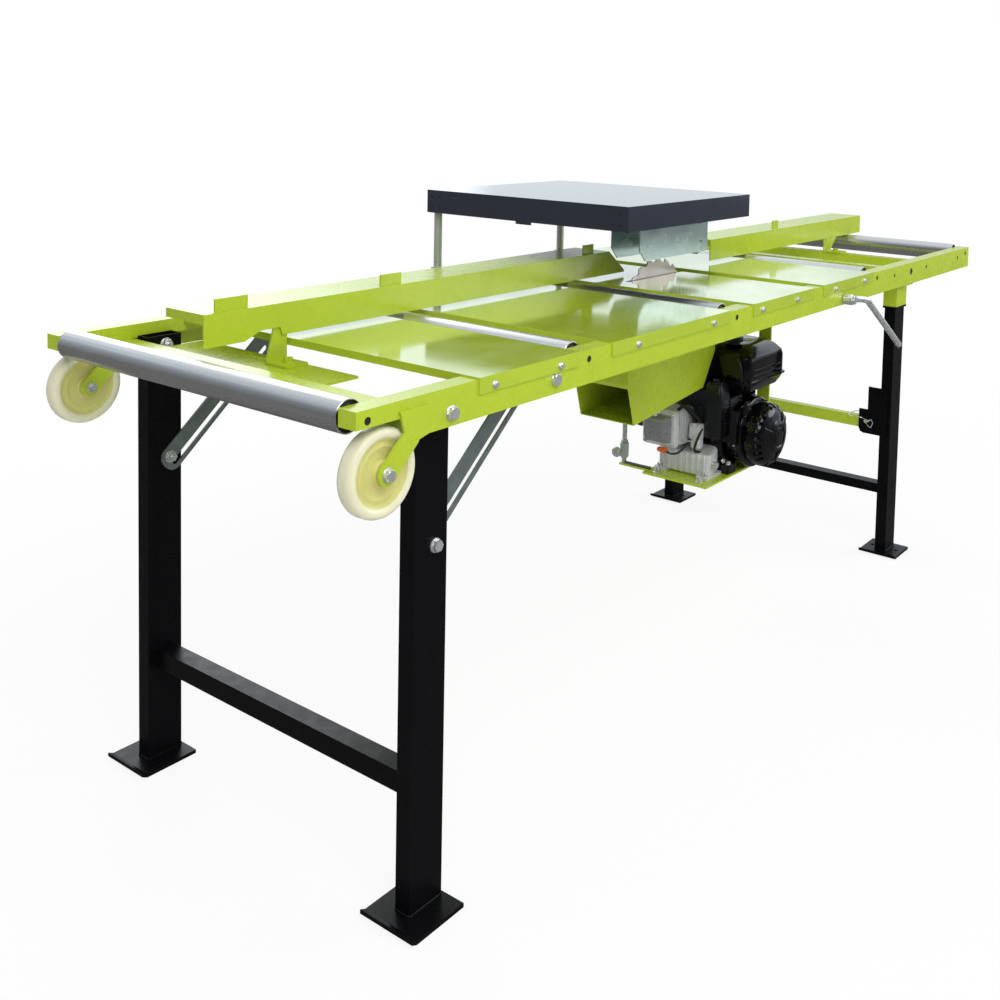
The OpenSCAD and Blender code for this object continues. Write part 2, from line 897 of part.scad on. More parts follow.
module front_fence() {
    color(green) placed() {
        difference() {
            fence_body(fence_x0, fence_x1, fence_y, 75);
            sheet_y(fence_y - 1, fence_y + fence_t + 1)
                polygon([[arch_x0, fence_z - 1], [arch_x1, fence_z - 1],
                    [arch_x1 - 6, fence_z + arch_h], [arch_x0 + 40, fence_z + arch_h]]);
        }
        for (i = [0:2])
            fence_tab(tab_xs[i], tab_ls[i], fence_y + 8);
        // Leg behind the near face, down to its clamping pad
        sheet_y(foot_y, foot_y + fence_t)
            polygon([[foot_slot_x - 4, fence_z + foot_lap], [foot_slot_x - foot_pad / 2 + 4, pad_z + pad_t],
                [foot_slot_x - foot_pad / 2 + 4, pad_z], [foot_slot_x + 24, pad_z],
                [foot_slot_x + 24, fence_z + foot_lap]]);
        difference() {
            block(foot_slot_x - foot_pad / 2, fence_y - foot_pad, pad_z,
                foot_slot_x + foot_pad / 2 - 6, foot_y, pad_z + pad_t);
            translate([foot_slot_x, fence_y - foot_pad / 2, pad_z - 1])
                cylinder(d = bolt_d, h = pad_t + 2);
        }
        fence_bolt(foot_slot_x, fence_y - foot_pad / 2, pad_z + pad_t);
    }
}

rear_pad_x = rear_tube_x + member_l / 2;

module rear_fence() {
    y = rear_fence_y;
    leg_y = y + fence_t + play;
    color(green) placed() {
        fence_body(rear_fence_x0, rear_fence_x1, y, 0);
        fence_tab(2300, 40, y + 20);
        // Leg and pad on the rear cross member
        sheet_y(leg_y, leg_y + fence_t)
            polygon([[rear_pad_x - 26, member_top + gap], [rear_pad_x + 26, member_top + gap],
                [rear_pad_x + 80, fence_z], [rear_pad_x + 80, fence_z + foot_lap],
                [rear_pad_x - 26, fence_z + foot_lap]]);
        block(rear_pad_x - 26, y - foot_pad, member_top + gap, rear_pad_x + 26, leg_y,
            member_top + gap + pad_t);
        translate([rear_pad_x, y - foot_pad / 2, member_top + gap + pad_t]) {
            cylinder(d = 24, h = washer_t);
            translate([0, 0, washer_t]) cylinder(d = 16 / cos(30), h = 7, $fn = 6);
        }
    }
}

// Saw

blade_z = table_z + blade_rise - blade_d / 2;
blade_bore = arbor_d;
tooth_h = 9;

// One tooth's share of the outline: gullet, back of the tooth, carbide tip and its face
function tooth_points(i) = let (r = blade_d / 2, step = 360 / teeth, a = i * step) [
    for (p = [[r - tooth_h, 0], [r - tooth_h - 2, 0.22 * step], [r - tooth_h + 2, 0.42 * step],
        [r - 3, 0.6 * step], [r, 0.93 * step], [r - 2, 0.99 * step]])
        p[0] * [cos(a + p[1]), sin(a + p[1])]
];

module blade2d() {
    difference() {
        polygon([for (i = [0:teeth - 1]) each tooth_points(i)]);
        circle(d = blade_bore + 2 * play);
    }
}

module saw_blade() {
    color(steel) placed()
        translate([blade_x, blade_y + blade_t / 2, blade_z])
            rotate([90, 0, 0])
                linear_extrude(blade_t)
                    blade2d();
}

flange_d = 90;
flange_t = 8;
arbor_y0 = blade_y - 32;
pulley_y0 = beam_y1 + 18;
pulley_w = 28;
arbor_y1 = pulley_y0 + pulley_w + 8;

module arbor_shaft() {
    color(steel) placed()
        bar_y(blade_x, blade_z, arbor_y0, arbor_y1, arbor_d);
}

module blade_flanges() {
    color(steel) placed() {
        for (y = [blade_y - blade_t / 2 - flange_t, blade_y + blade_t / 2])
            difference() {
                bar_y(blade_x, blade_z, y, y + flange_t, flange_d);
                bar_y(blade_x, blade_z, y - 1, y + flange_t + 1, arbor_d + 2 * play);
            }
        difference() {
            hex_y(blade_x, blade_z, blade_y - blade_t / 2 - flange_t - 16,
                blade_y - blade_t / 2 - flange_t, 46);
            bar_y(blade_x, blade_z, blade_y - 40, blade_y, arbor_d + 2 * play);
        }
    }
}

housing_y0 = chute_y1 + chute_t + 10;
housing_y1 = beam_y1;

// Bearing housing hung under the beam by its foot
module arbor_housing() {
    foot_z = rail_bottom;
    color("#3c4044") placed() {
        difference() {
            union() {
                bar_y(blade_x, blade_z, housing_y0, housing_y1, housing_d);
                block(blade_x - 26, beam_y0, blade_z, blade_x + 26, housing_y1, foot_z - 10);
                block(blade_x - 60, beam_y0, foot_z - 10, blade_x + 60, housing_y1, foot_z);
            }
            bar_y(blade_x, blade_z, housing_y0 - 1, housing_y1 + 1, arbor_d + 2 * play);
        }
    }
}

// V-belt pulley with one groove, on a shaft of the given diameter
module pulley(x, z, y0, d, bore) {
    mid = pulley_w / 2;
    half_top = belt_w / 2 + 2;
    half_low = belt_w / 2 - 0.5;
    translate([x, y0, z])
        rotate([-90, 0, 0])
            rotate_extrude($fn = 96)
                polygon([[bore / 2 + play, 0], [d / 2, 0], [d / 2, mid - half_top],
                    [d / 2 - belt_t - 1.5, mid - half_low], [d / 2 - belt_t - 1.5, mid + half_low],
                    [d / 2, mid + half_top], [d / 2, pulley_w], [bore / 2 + play, pulley_w]]);
}

module arbor_pulley() {
    color("#2b2d30") placed()
        pulley(blade_x, blade_z, pulley_y0, arbor_pulley_d, arbor_d);
}

// The belt runs as a closed band round both grooves, clear of them by the running gap
belt_in = belt_t + 1.5 - gap;
belt_y = pulley_y0 + pulley_w / 2;

module band2d(grow) {
    a = [blade_x, blade_z];
    b = [crank_x, crank_z];
    ra = arbor_pulley_d / 2 - belt_in + grow;
    rb = engine_pulley_d / 2 - belt_in + grow;
    d = norm(b - a);
    base = atan2(b[1] - a[1], b[0] - a[0]);
    open = acos((ra - rb) / d);
    n = 24;
    polygon(concat(
        [for (i = [0:n]) let (t = base + open + (360 - 2 * open) * i / n) a + ra * [cos(t), sin(t)]],
        [for (i = [0:n]) let (t = base - open + 2 * open * i / n) b + rb * [cos(t), sin(t)]]
    ));
}

module drive_belt() {
    color("#1d1c1b") placed()
        sheet_y(belt_y - belt_w / 2 + 1, belt_y + belt_w / 2 - 1)
            difference() {
                band2d(belt_t);
                band2d(0);
            }
}

// Belt tension: hand lever, cross shaft, arm and idler

lever_x = 1843;
lever_z = table_z - 52;
lever_shaft_d = 20;
lever_hub_y = -26;
lever_bend = [lever_x + 70, lever_z - 8];
lever_tip = [lever_x + 329, lever_z - 177];
idler_r = 30;
idler_w = 24;

// Side of the belt that faces the idler: unit normal of the line between the pulleys
belt_dir = [crank_x - blade_x, crank_z - blade_z] / norm([crank_x - blade_x, crank_z - blade_z]);
belt_out = [-belt_dir[1], belt_dir[0]];
belt_reach = (arbor_pulley_d + engine_pulley_d) / 4 - belt_in + belt_t;
idler_at = [(blade_x + crank_x) / 2, (blade_z + crank_z) / 2]
    + belt_out * (belt_reach + idler_r + 2 * gap);
arm_y0 = belt_y + belt_w / 2 + 12;
arm_t = 8;

module rod(a, b, d) {
    v = b - a;
    translate(a)
        rotate([0, acos(v[2] / norm(v)), atan2(v[1], v[0])])
            cylinder(d = d, h = norm(v));
}

module tension_lever() {
    y = -lever_out;
    color(zinc) placed() {
        bar_y(lever_x, lever_z, lever_hub_y, -gap, 30);
        rod([lever_x, lever_hub_y + 8, lever_z], [lever_bend[0], y, lever_bend[1]], lever_d);
        rod([lever_bend[0], y, lever_bend[1]], [lever_tip[0], y, lever_tip[1]], lever_d);
        translate([lever_bend[0], y, lever_bend[1]]) sphere(d = lever_d + 2);
        hex_y(lever_x, lever_z, lever_hub_y - 8, lever_hub_y, 24);
    }
}

module idler_arm() {
    color(black) placed() {
        bar_y(lever_x, lever_z, -gap, table_w + 4, lever_shaft_d);
        difference() {
            sheet_y(arm_y0, arm_y0 + arm_t)
                link2d([lever_x, lever_z], idler_at, 18, 14);
            bar_y(lever_x, lever_z, arm_y0 - 1, arm_y0 + arm_t + 1, lever_shaft_d);
        }
        bar_y(idler_at[0], idler_at[1], belt_y - idler_w / 2 - 3, arm_y0, 12);
    }
}

module idler_pulley() {
    color("#2b2d30") placed()
        difference() {
            bar_y(idler_at[0], idler_at[1], belt_y - idler_w / 2, belt_y + idler_w / 2, 2 * idler_r);
            bar_y(idler_at[0], idler_at[1], belt_y - idler_w, belt_y + idler_w, 12 + 2 * play);
        }
}

// Chute

tank_reach = 92;
chute_x0 = blade_x - blade_d / 2 - 82.5;
chute_x1 = crank_x - tank_reach - 3;
chute_top = table_z - lip_h;
chute_low = table_z - chute_drop;
chute_lintel = chute_top - 245;
chute_shoulder = chute_low + 114;
chute_bend = chute_low + 134;
chute_toe = [chute_x0 + 33, chute_low];
chute_heel = [chute_x1 - 65, chute_low + 36];

// Sheet trough under the blade, open above to the blade and in front below the lintel
module chute() {
    inner_x0 = chute_x0 + 8 + chute_t;
    mouth_x = chute_x0 - 60;
    color(green) placed()
        difference() {
            union() {
                sheet_y(chute_y0, chute_y1)
                    polygon([[chute_x0 + 8, chute_top], [chute_x0, chute_shoulder], chute_toe, chute_heel,
                        [chute_x1 - 4, chute_bend], [chute_x1, chute_top]]);
                // Tongues up to the underside of the plate
                for (y = [chute_y0, chute_y1 - chute_t])
                    block(plate_starts[2] + plate_t, y, chute_top - chute_t, plate_ends[2], y + chute_t, table_z);
            }
            sheet_y(chute_y0 + chute_t, chute_y1 - chute_t)
                polygon([[inner_x0, chute_top + 1], [inner_x0, chute_lintel],
                    [mouth_x, chute_lintel], [mouth_x, chute_low - 6],
                    [chute_toe[0] - 40, chute_low + chute_t - 5], [chute_toe[0], chute_low + chute_t],
                    [chute_heel[0] - chute_t * 0.3, chute_heel[1] + chute_t],
                    [chute_x1 - 4 - chute_t, chute_bend], [chute_x1 - chute_t, chute_top + 1]]);
            bar_y(blade_x, blade_z, chute_y1 - chute_t - 1, chute_y1 + 1, arbor_d + 30);
        }
}

// Guard hood on its posts

hood_y1 = table_w;
hood_top = table_z + hood_rise;
hood_bottom = hood_top - hood_h;
post_xs = [1105, 1660];
post_seats = [table_z + plate_t, table_z];
post_tail = 130;
post_y = table_w - 18;

module hood() {
    color(black) placed()
        difference() {
            union() {
                difference() {
                    block(hood_x0, hood_y0, hood_bottom, hood_x1, hood_y1, hood_top);
                    block(hood_x0 + hood_t, hood_y0 + hood_t, hood_bottom - 1,
                        hood_x1 - hood_t, hood_y1 - hood_t, hood_top - hood_t);
                }
                // Sleeves for the posts
                for (x = post_xs)
                    translate([x, post_y - 1, hood_bottom])
                        cylinder(d = post_d + 9, h = hood_h - hood_t);
                // Ribs that carry the guard plates
                for (x = [guard_x0 + 30, hood_x1 - 60])
                    block(x, hood_y0 + hood_t, hood_bottom + 20, x + 20, hood_y1 - hood_t, hood_bottom + 23);
            }
            for (x = post_xs)
                translate([x, post_y, hood_bottom - 1])
                    cylinder(d = post_d, h = hood_h - hood_t + 1);
        }
}

module hood_posts() {
    color(zinc) placed()
        for (x = post_xs)
            translate([x, post_y, table_z - post_tail])
                cylinder(d = post_d, h = hood_top - hood_t - table_z + post_tail);
}

socket_d = 34;
socket_rise = 22;

// Collars on the far rail that the posts slide in, each with its clamp screw
module post_sockets() {
    color(zinc) placed()
        for (i = [0:1]) {
            x = post_xs[i];
            z = post_seats[i];
            screw_y = post_y - socket_d / 2;
            difference() {
                translate([x, post_y, z]) cylinder(d = socket_d, h = socket_rise);
                translate([x, post_y, z - 1]) cylinder(d = post_d + 2 * play, h = socket_rise + 2);
            }
            bar_y(x, z + socket_rise / 2, screw_y - 18, screw_y + 3, 8);
            hex_y(x, z + socket_rise / 2, screw_y - 24, screw_y - 18, 16);
        }
}

guard_low = table_z + 62;
guard_near_y = blade_y - guard_gap - guard_t;
guard_far_y = blade_y + guard_gap;
finger_x = guard_x1 - 34;
finger_z = guard_low + 30;
finger_pin_d = 8;

module guard_plate(y) {
    difference() {
        sheet_y(y, y + guard_t)
            polygon([[guard_x0, hood_bottom + 20], [guard_x0, guard_low + 30], [guard_x0 + 28, guard_low],
                [guard_x1 - 8, guard_low], [guard_x1, guard_low + 10], [guard_x1, hood_bottom - 1],
                [hood_x1 - 6, hood_bottom - 1], [hood_x1 - 6, hood_bottom + 20]]);
        bar_y(finger_x, finger_z, y - 1, y + guard_t + 1, finger_pin_d + 2 * play);
    }
}

module guard_plates() {
    color(zinc) placed() {
        guard_plate(guard_near_y);
        guard_plate(guard_far_y);
        for (x = [guard_x0 + 42, hood_x1 - 22])
            bar_y(x, hood_bottom - 22, guard_near_y - 6, guard_far_y + guard_t + 6, 8);
        for (x = [guard_x0 + 42, hood_x1 - 22])
            for (y = [guard_near_y - 6, guard_far_y + guard_t])
                hex_y(x, hood_bottom - 22, y, y + 6, 14);
    }
}

finger_n = 7;
finger_t = 6;

// Row of toothed plates on one pin behind the blade
module kickback_fingers() {
    y0 = guard_near_y + guard_t + 4;
    span = guard_far_y - y0 - 4;
    color(zinc) placed() {
        bar_y(finger_x, finger_z, guard_near_y - 3, guard_far_y + guard_t + 3, finger_pin_d);
        for (i = [0:finger_n - 1])
            sheet_y(y0 + i * (span - finger_t) / (finger_n - 1),
                y0 + i * (span - finger_t) / (finger_n - 1) + finger_t)
                difference() {
                    union() {
                        translate([finger_x, finger_z]) circle(r = 10);
                        polygon([[finger_x - 10, finger_z], [finger_x - 20, finger_z - 36],
                            [finger_x - 12, finger_z - 31], [finger_x - 8, finger_z - 38],
                            [finger_x, finger_z - 31], [finger_x + 4, finger_z - 36],
                            [finger_x + 10, finger_z]]);
                    }
                    translate([finger_x, finger_z]) circle(d = finger_pin_d);
                }
    }
}

// Engine

engine_z = platform_z + platform_t;
fan_d = 206;
fan_y0 = 236;
fan_y1 = 292;
case_y1 = 500;
case_front = crank_x - 120;
case_back = crank_x + 140;
case_top = crank_z + 84;
base_front = crank_x - 130;
base_back = crank_x + 105;
base_h = 16;
cyl_z = crank_z + 22;

module engine_block() {
    color(black) placed()
        difference() {
            union() {
                intersection() {
                    bar_y(crank_x, crank_z, fan_y0, fan_y1, fan_d);
                    block(crank_x - fan_d, fan_y0 - 1, engine_z, crank_x + fan_d, fan_y1 + 1, crank_z + fan_d);
                }
                block(case_front, fan_y1, engine_z, case_back, case_y1, case_top);
                block(base_front, fan_y1 + 18, engine_z, base_back, case_y1 - 30, engine_z + base_h);
            }
            bar_y(crank_x, crank_z, fan_y0 - 1, case_y1 + 1, crank_d + 2 * play);
        }
}

module recoil_cover() {
    color(black) placed()
        translate([crank_x, recoil_y, crank_z])
            rotate([-90, 0, 0])
                rotate_extrude($fn = 96)
                    polygon([[0, 0], [38, 0], [46, 5], [72, 12], [86, 26], [recoil_d / 2, 42],
                        [recoil_d / 2, fan_y0 - recoil_y], [recoil_d / 2 - 4, fan_y0 - recoil_y],
                        [recoil_d / 2 - 4, 44], [82, 30], [70, 17], [44, 10], [36, 5], [0, 5]]);
}

head_x1 = case_front;
head_x0 = head_x1 - 102;
head_y0 = 372;
head_y1 = 488;
fin_n = 6;

// Finned barrel and head between the crankcase and the valve cover
module cylinder_head() {
    zc0 = cyl_z - 44;
    zc1 = cyl_z + 56;
    color("#b9bcbe") placed() {
        block(head_x0, head_y0 + 10, zc0 + 10, head_x1, head_y1 - 10, zc1 - 10);
        for (i = [0:fin_n - 1])
            block(head_x0 + 6 + i * 15, head_y0, zc0, head_x0 + 11 + i * 15, head_y1, zc1);
        block(head_x0 - 4, head_y0, zc0 - 6, head_x0, head_y1, zc1 + 2);
    }
}

module valve_cover() {
    zc0 = cyl_z - 40;
    zc1 = cyl_z + 48;
    x1 = head_x0 - 4;
    color("#c3c6c8") placed() {
        block(x1 - 5, head_y0 + 4, zc0 - 4, x1, head_y1 - 4, zc1 + 4);
        sheet_y(head_y0 + 12, head_y1 - 12)
            polygon([[x1 - 5, zc0], [x1 - 30, zc0 + 8], [x1 - 36, zc0 + 16], [x1 - 36, zc1 - 16],
                [x1 - 30, zc1 - 8], [x1 - 5, zc1]]);
    }
}

filter_x0 = crank_x - 160;
filter_mid = crank_x - 99;
filter_x1 = crank_x - 24;
filter_y0 = 272;
filter_y1 = 370;
// The upper half reaches over the barrel's fins
filter_reach = 420;
filter_shelf = cyl_z + 66;
filter_z0 = crank_z - 13;
filter_z1 = crank_z + 159;
tank_z0 = crank_z + 123;

module air_filter_box() {
    color(black) placed() {
        difference() {
            union() {
                block(filter_x0, filter_y0, filter_z0 + 12, filter_mid, filter_y1, filter_z1);
                block(filter_mid, filter_y0, filter_z0 + 12, filter_x1, filter_y1, tank_z0 - 8);
                block(filter_x0, filter_y0, filter_shelf, filter_mid, filter_reach, filter_z1);
            }
            block(head_x1, fan_y1 - gap, filter_z0, filter_x1 + 1, filter_y1 + 1, case_top);
            bar_y(crank_x, crank_z, filter_y0 - 1, fan_y1 + 1, fan_d);
            // Corner cut away beside the chute's heel
            block(filter_x0 - 1, chute_y0 - 2, filter_z1 - 18, filter_x0 + 16, filter_reach + 1, filter_z1 + 1);
        }
        translate([(filter_x0 + filter_mid) / 2, filter_y0 + 34, filter_z1]) {
            cylinder(d = 46, h = 4);
            cylinder(d = 18, h = 12);
        }
    }
}

tank_x0 = crank_x - tank_reach;
tank_x1 = crank_x + 145;
tank_y0 = 222;
tank_y1 = 430;
tank_h = 137;
tank_z1 = tank_z0 + tank_h;
tank_seam = tank_z0 + 35;

module fuel_tank() {
    b = 22;
    color(black) placed() {
        sheet_y(tank_y0, tank_y1)
            polygon([[tank_x0 + b, tank_z0], [tank_x1 - b, tank_z0], [tank_x1, tank_z0 + b],
                [tank_x1, tank_z1 - b], [tank_x1 - b, tank_z1], [tank_x0 + b, tank_z1],
                [tank_x0, tank_z1 - b], [tank_x0, tank_z0 + b]]);
        difference() {
            block(tank_x0 - 6, tank_y0 - 6, tank_seam, tank_x1 + 6, tank_y1 + 6, tank_seam + 4);
            block(tank_x0, tank_y0, tank_seam - 1, tank_x1, tank_y1, tank_seam + 5);
        }
        for (x = [tank_x0 + 110, tank_x1 - 50])
            block(x, fan_y1 + 10, case_top, x + 16, tank_y1 - 10, tank_z0);
    }
}

cap_at = [tank_x0 + 49, tank_y0 + 78];

module fuel_cap() {
    color(black) placed()
        translate([cap_at[0], cap_at[1], tank_z1]) {
            cylinder(d = 40, h = 8);
            translate([0, 0, 8]) cylinder(d = 58, h = 14);
        }
}

module muffler() {
    color("#3a3a3c") placed() {
        block(crank_x - 100, tank_y1 + 16, case_top + 6, crank_x - 10, case_y1 + 60, tank_z0 + 40);
        block(crank_x - 76, tank_y1 + 24, case_top, crank_x - 34, case_y1 - 4, case_top + 6);
    }
}

module crankshaft() {
    color(steel) placed() {
        bar_y(crank_x, crank_z, fan_y1 - 40, pulley_y0 + pulley_w + 6, crank_d);
        pulley(crank_x, crank_z, pulley_y0, engine_pulley_d, crank_d - 2 * play);
    }
}

plat_x0 = crank_x - 245;
plat_y0 = 262;
plat_y1 = 474;
hanger_w = 40;
hanger_t = 6;
rod_at = [crank_x - 210, 562];
rod_d = 12;

// Plate under the engine, hung at the rear by two straps and at the front by a rod
module engine_platform() {
    strap_x = member_xs[3] + member_l / 2;
    color(green) placed() {
        block(plat_x0, plat_y0, platform_z, strap_x + hanger_t, plat_y1, platform_z + platform_t);
        block(strap_x, 300, platform_z + platform_t, strap_x + hanger_t, 300 + hanger_w, member_top - member_t);
        block(strap_x, 430, platform_z + platform_t, strap_x + hanger_t, 430 + hanger_w, member_top - member_t);
        block(rod_at[0] - 8, plat_y1, platform_z, rod_at[0] + 8, rod_at[1] + 12, platform_z + platform_t);
        translate([rod_at[0], rod_at[1], platform_z + platform_t])
            cylinder(d = rod_d, h = rail_bottom - platform_z - platform_t);
        translate([rod_at[0], rod_at[1], platform_z + platform_t + 20])
            cylinder(d = 24, h = 42);
        bar_x(rod_at[1], platform_z + platform_t + 42, rod_at[0] - 36, rod_at[0] - 10, 10);
        translate([rod_at[0] - 46, rod_at[1], platform_z + platform_t + 42])
            rotate([0, 90, 0])
                cylinder(d = 26, h = 10);
    }
}

near_rail();
far_rail();
front_cross_tube();
cross_members();
arbor_beam();
table_plate_1();
table_plate_2();
table_plate_3();
table_plate_4();
plate_screws();
front_roller();
roller_1();
roller_2();
roller_3();
rear_roller();
roller_axles();
caster_forks();
near_caster_wheel();
far_caster_wheel();
pivot_bolts();
near_front_leg();
far_front_leg();
front_leg_brace();
near_stay();
far_stay();
stay_nuts();
stay_bolts();
near_rear_leg();
far_rear_leg();
rear_leg_brace();
rear_leg_sockets();
socket_clamp_bolts();
tie_bar();
front_fence();
rear_fence();
saw_blade();
arbor_shaft();
blade_flanges();
arbor_housing();
arbor_pulley();
drive_belt();
tension_lever();
idler_arm();
idler_pulley();
chute();
hood();
hood_posts();
post_sockets();
guard_plates();
kickback_fingers();
engine_block();
recoil_cover();
cylinder_head();
valve_cover();
air_filter_box();
fuel_tank();
fuel_cap();
muffler();
crankshaft();
engine_platform();
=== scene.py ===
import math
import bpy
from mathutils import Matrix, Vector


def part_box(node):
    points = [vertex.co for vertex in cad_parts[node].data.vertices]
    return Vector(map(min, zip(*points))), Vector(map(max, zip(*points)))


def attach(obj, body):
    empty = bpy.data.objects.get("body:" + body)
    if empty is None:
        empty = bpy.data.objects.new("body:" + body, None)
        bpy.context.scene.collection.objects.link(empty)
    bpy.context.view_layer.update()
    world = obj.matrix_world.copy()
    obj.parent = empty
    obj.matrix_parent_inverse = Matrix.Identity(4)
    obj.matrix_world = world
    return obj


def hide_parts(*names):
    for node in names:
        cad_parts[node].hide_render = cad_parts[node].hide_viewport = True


bl_info = {
    "name": "Board Edger",
    "version": (1, 0, 0),
    "blender": (4, 5, 0),
    "location": "3D Viewport > Sidebar > Board Edger",
    "description": "Dresses a folding roller table with its saw, guard, engine, legs and wheels",
    "category": "Object",
}

import bmesh
import bpy
from bpy.props import BoolProperty, FloatProperty, FloatVectorProperty, PointerProperty
from mathutils import Matrix, Vector

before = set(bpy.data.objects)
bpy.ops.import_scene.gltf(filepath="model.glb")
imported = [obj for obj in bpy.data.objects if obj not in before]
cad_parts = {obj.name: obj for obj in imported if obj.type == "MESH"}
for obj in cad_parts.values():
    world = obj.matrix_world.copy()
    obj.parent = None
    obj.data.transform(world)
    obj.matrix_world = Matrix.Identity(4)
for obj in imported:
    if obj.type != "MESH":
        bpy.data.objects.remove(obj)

# Places are in table millimetres: from the feed end, the near rail and the floor
MM = 0.001
TABLE_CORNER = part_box("near_rail")[0]
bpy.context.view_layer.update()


def at(x, y, z):
    """A place given in table millimetres."""
    return Vector((TABLE_CORNER[0] + x * MM, TABLE_CORNER[1] + y * MM, z * MM))


def table_box(name):
    """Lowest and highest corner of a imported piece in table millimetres."""
    origin = (TABLE_CORNER[0], TABLE_CORNER[1], 0.0)
    return [[(c - o) / MM for c, o in zip(corner, origin)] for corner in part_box(name)]


def middle(name):
    """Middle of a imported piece's box in table millimetres."""
    return [(a + b) / 2 for a, b in zip(*table_box(name))]


TABLE_WIDTH = table_box("far_rail")[1][1]

# Sheet of the table plates and the bolts that hold them to each rail
PLATE_SHEET = -table_box("table_plate_1")[0][1]
PLATE_BOLTS = (327, 518, 786, 1100, 1343, 1538, 1779, 1980)
PLATE_BOLT_HEIGHT = middle("plate_screws")[2]

# Leg tubes: width along the table and depth across it
LEG_WIDTH = {"front": 80.0, "rear": 75.0}
LEG_DEPTH = 35.0
FOOT_TOP = 8.0

# Axles and pivots seen from the near side, as a place along the table and a height
WHEEL_AXLE = middle("near_caster_wheel")[::2]
LEG_PIVOT = (217.0, 900.0)
STAY_PIVOT = (505.0, 905.0)
LEVER_PIVOT = (1843.0, 893.0)
CRANK = middle("recoil_cover")[::2]

# Heights that the engine's pieces share, and the near face of its block
ENGINE_BASE = table_box("engine_block")[0][2]
ENGINE_FRONT = table_box("engine_block")[0][1]
TANK_TOP = table_box("fuel_tank")[1][2]
KNOB_HEIGHT = 12.0
FILTER_TOP = table_box("air_filter_box")[1][2] - KNOB_HEIGHT

# The photograph's view, solved from the straight edges of the rails, plates and legs: the camera's place
# and its yaw, pitch and roll in degrees
CAMERA_PLACE = (-1211.95, -1306.17, 1430.24)
CAMERA_TURN = (36.25, -4.06, 1.36)
FOCAL_PIXELS = 1156.05
PICTURE_PIXELS = 1000
LENS_SHIFT = (-0.08004, -0.31604)
SENSOR_WIDTH = 36.0

WHITE = (1.0, 1.0, 1.0, 1.0)


# Shader nodes

def add(tree, kind, **inputs):
    """A new shader node with its inputs set by name."""
    node = tree.nodes.new("ShaderNode" + kind)
    dial(node, **inputs)
    return node


def dial(node, **inputs):
    """Sets a node's inputs by name, an underscore standing for a space."""
    for name, value in inputs.items():
        node.inputs[name.replace("_", " ")].default_value = value


def wire(tree, source, output, target, socket):
    """Joins an output of one node to a socket of another."""
    tree.links.new(source.outputs[output], target.inputs[socket])


def noise(tree, place, output, scale, detail):
    """A noise texture that reads its place from the given output."""
    node = add(tree, "TexNoise", Scale=scale, Detail=detail)
    wire(tree, place, output, node, "Vector")
    return node


def set_stops(ramp, stops):
    """Colours a ramp; the first and the last stop are the two that it starts with."""
    elements = ramp.color_ramp.elements
    for element, (position, colour) in zip((elements[0], elements[1]), (stops[0], stops[-1])):
        element.position = position
        element.color = (*colour, 1.0)
    for position, colour in stops[1:-1]:
        elements.new(position).color = (*colour, 1.0)


# Finishes

def node_finish(name, colour, roughness, metallic=0.0, coat=0.0, grain=900.0, relief=0.03, mottle=0.05,
                mottle_scale=14.0, rough_swing=0.06, stretch=(1, 1, 1), specular=0.5):
    """A finish with fine relief, slow colour change and uneven gloss."""
    if name in bpy.data.materials:
        return bpy.data.materials[name]
    mat = bpy.data.materials.new(name)
    mat.use_nodes = True
    tree = mat.node_tree
    shader = tree.nodes["Principled BSDF"]
    dial(shader, Metallic=metallic, Coat_Weight=coat, Coat_Roughness=0.08, Specular_IOR_Level=specular)
    mapping = add(tree, "Mapping", Scale=stretch)
    wire(tree, add(tree, "TexCoord"), "Object", mapping, "Vector")

    slow = noise(tree, mapping, "Vector", mottle_scale, 4.0)
    ramp = add(tree, "ValToRGB")
    darker = [max(0.0, c * (1.0 - mottle)) for c in colour]
    lighter = [min(1.0, c * (1.0 + mottle)) for c in colour]
    set_stops(ramp, ((0.3, darker), (0.7, lighter)))
    wire(tree, slow, "Fac", ramp, "Fac")
    wire(tree, ramp, "Color", shader, "Base Color")

    patches = noise(tree, mapping, "Vector", mottle_scale * 2.3, 5.0)
    spread = add(tree, "MapRange", From_Min=0.3, From_Max=0.7, To_Min=max(0.02, roughness - rough_swing),
                 To_Max=min(1.0, roughness + rough_swing))
    wire(tree, patches, "Fac", spread, "Value")
    wire(tree, spread, "Result", shader, "Roughness")

    fine = noise(tree, mapping, "Vector", grain, 2.0)
    bump = add(tree, "Bump", Strength=relief, Distance=0.001)
    wire(tree, fine, "Fac", bump, "Height")
    wire(tree, bump, "Normal", shader, "Normal")
    return mat


def paint():
    """The colours set in the panel"""
    return bpy.context.scene.edger_paint


def powder_green():
    """Satin coat of the rails and fences"""
    return node_finish("powder_coat_green", paint().green, 0.28, coat=0.2, grain=500.0, relief=0.012,
                       mottle=0.03, rough_swing=0.03, specular=0.4)


def plate_green():
    """Glossier coat of the table plates"""
    return node_finish("plate_gloss_green", paint().plate, 0.13, coat=0.7, grain=400.0, relief=0.010,
                       mottle_scale=5.0)


def powder_black():
    """Satin coat of the legs"""
    return node_finish("powder_coat_black", paint().black, 0.30, grain=500.0, mottle=0.1, specular=0.12)


def hood_black():
    """Black gloss of the guard hood; the blue tint in its colour is a painted blue reflection"""
    return node_finish("hood_gloss_black", paint().hood, 0.05, coat=1.0, grain=14.0, relief=0.07, mottle=0.1,
                       specular=0.8, rough_swing=0.03)


def zinc_bright():
    """Plating of the bolts and nuts"""
    return node_finish("zinc_bright", (0.72, 0.74, 0.74), 0.24, metallic=0.72, grain=1400.0, relief=0.05,
                       mottle=0.08, mottle_scale=60.0)


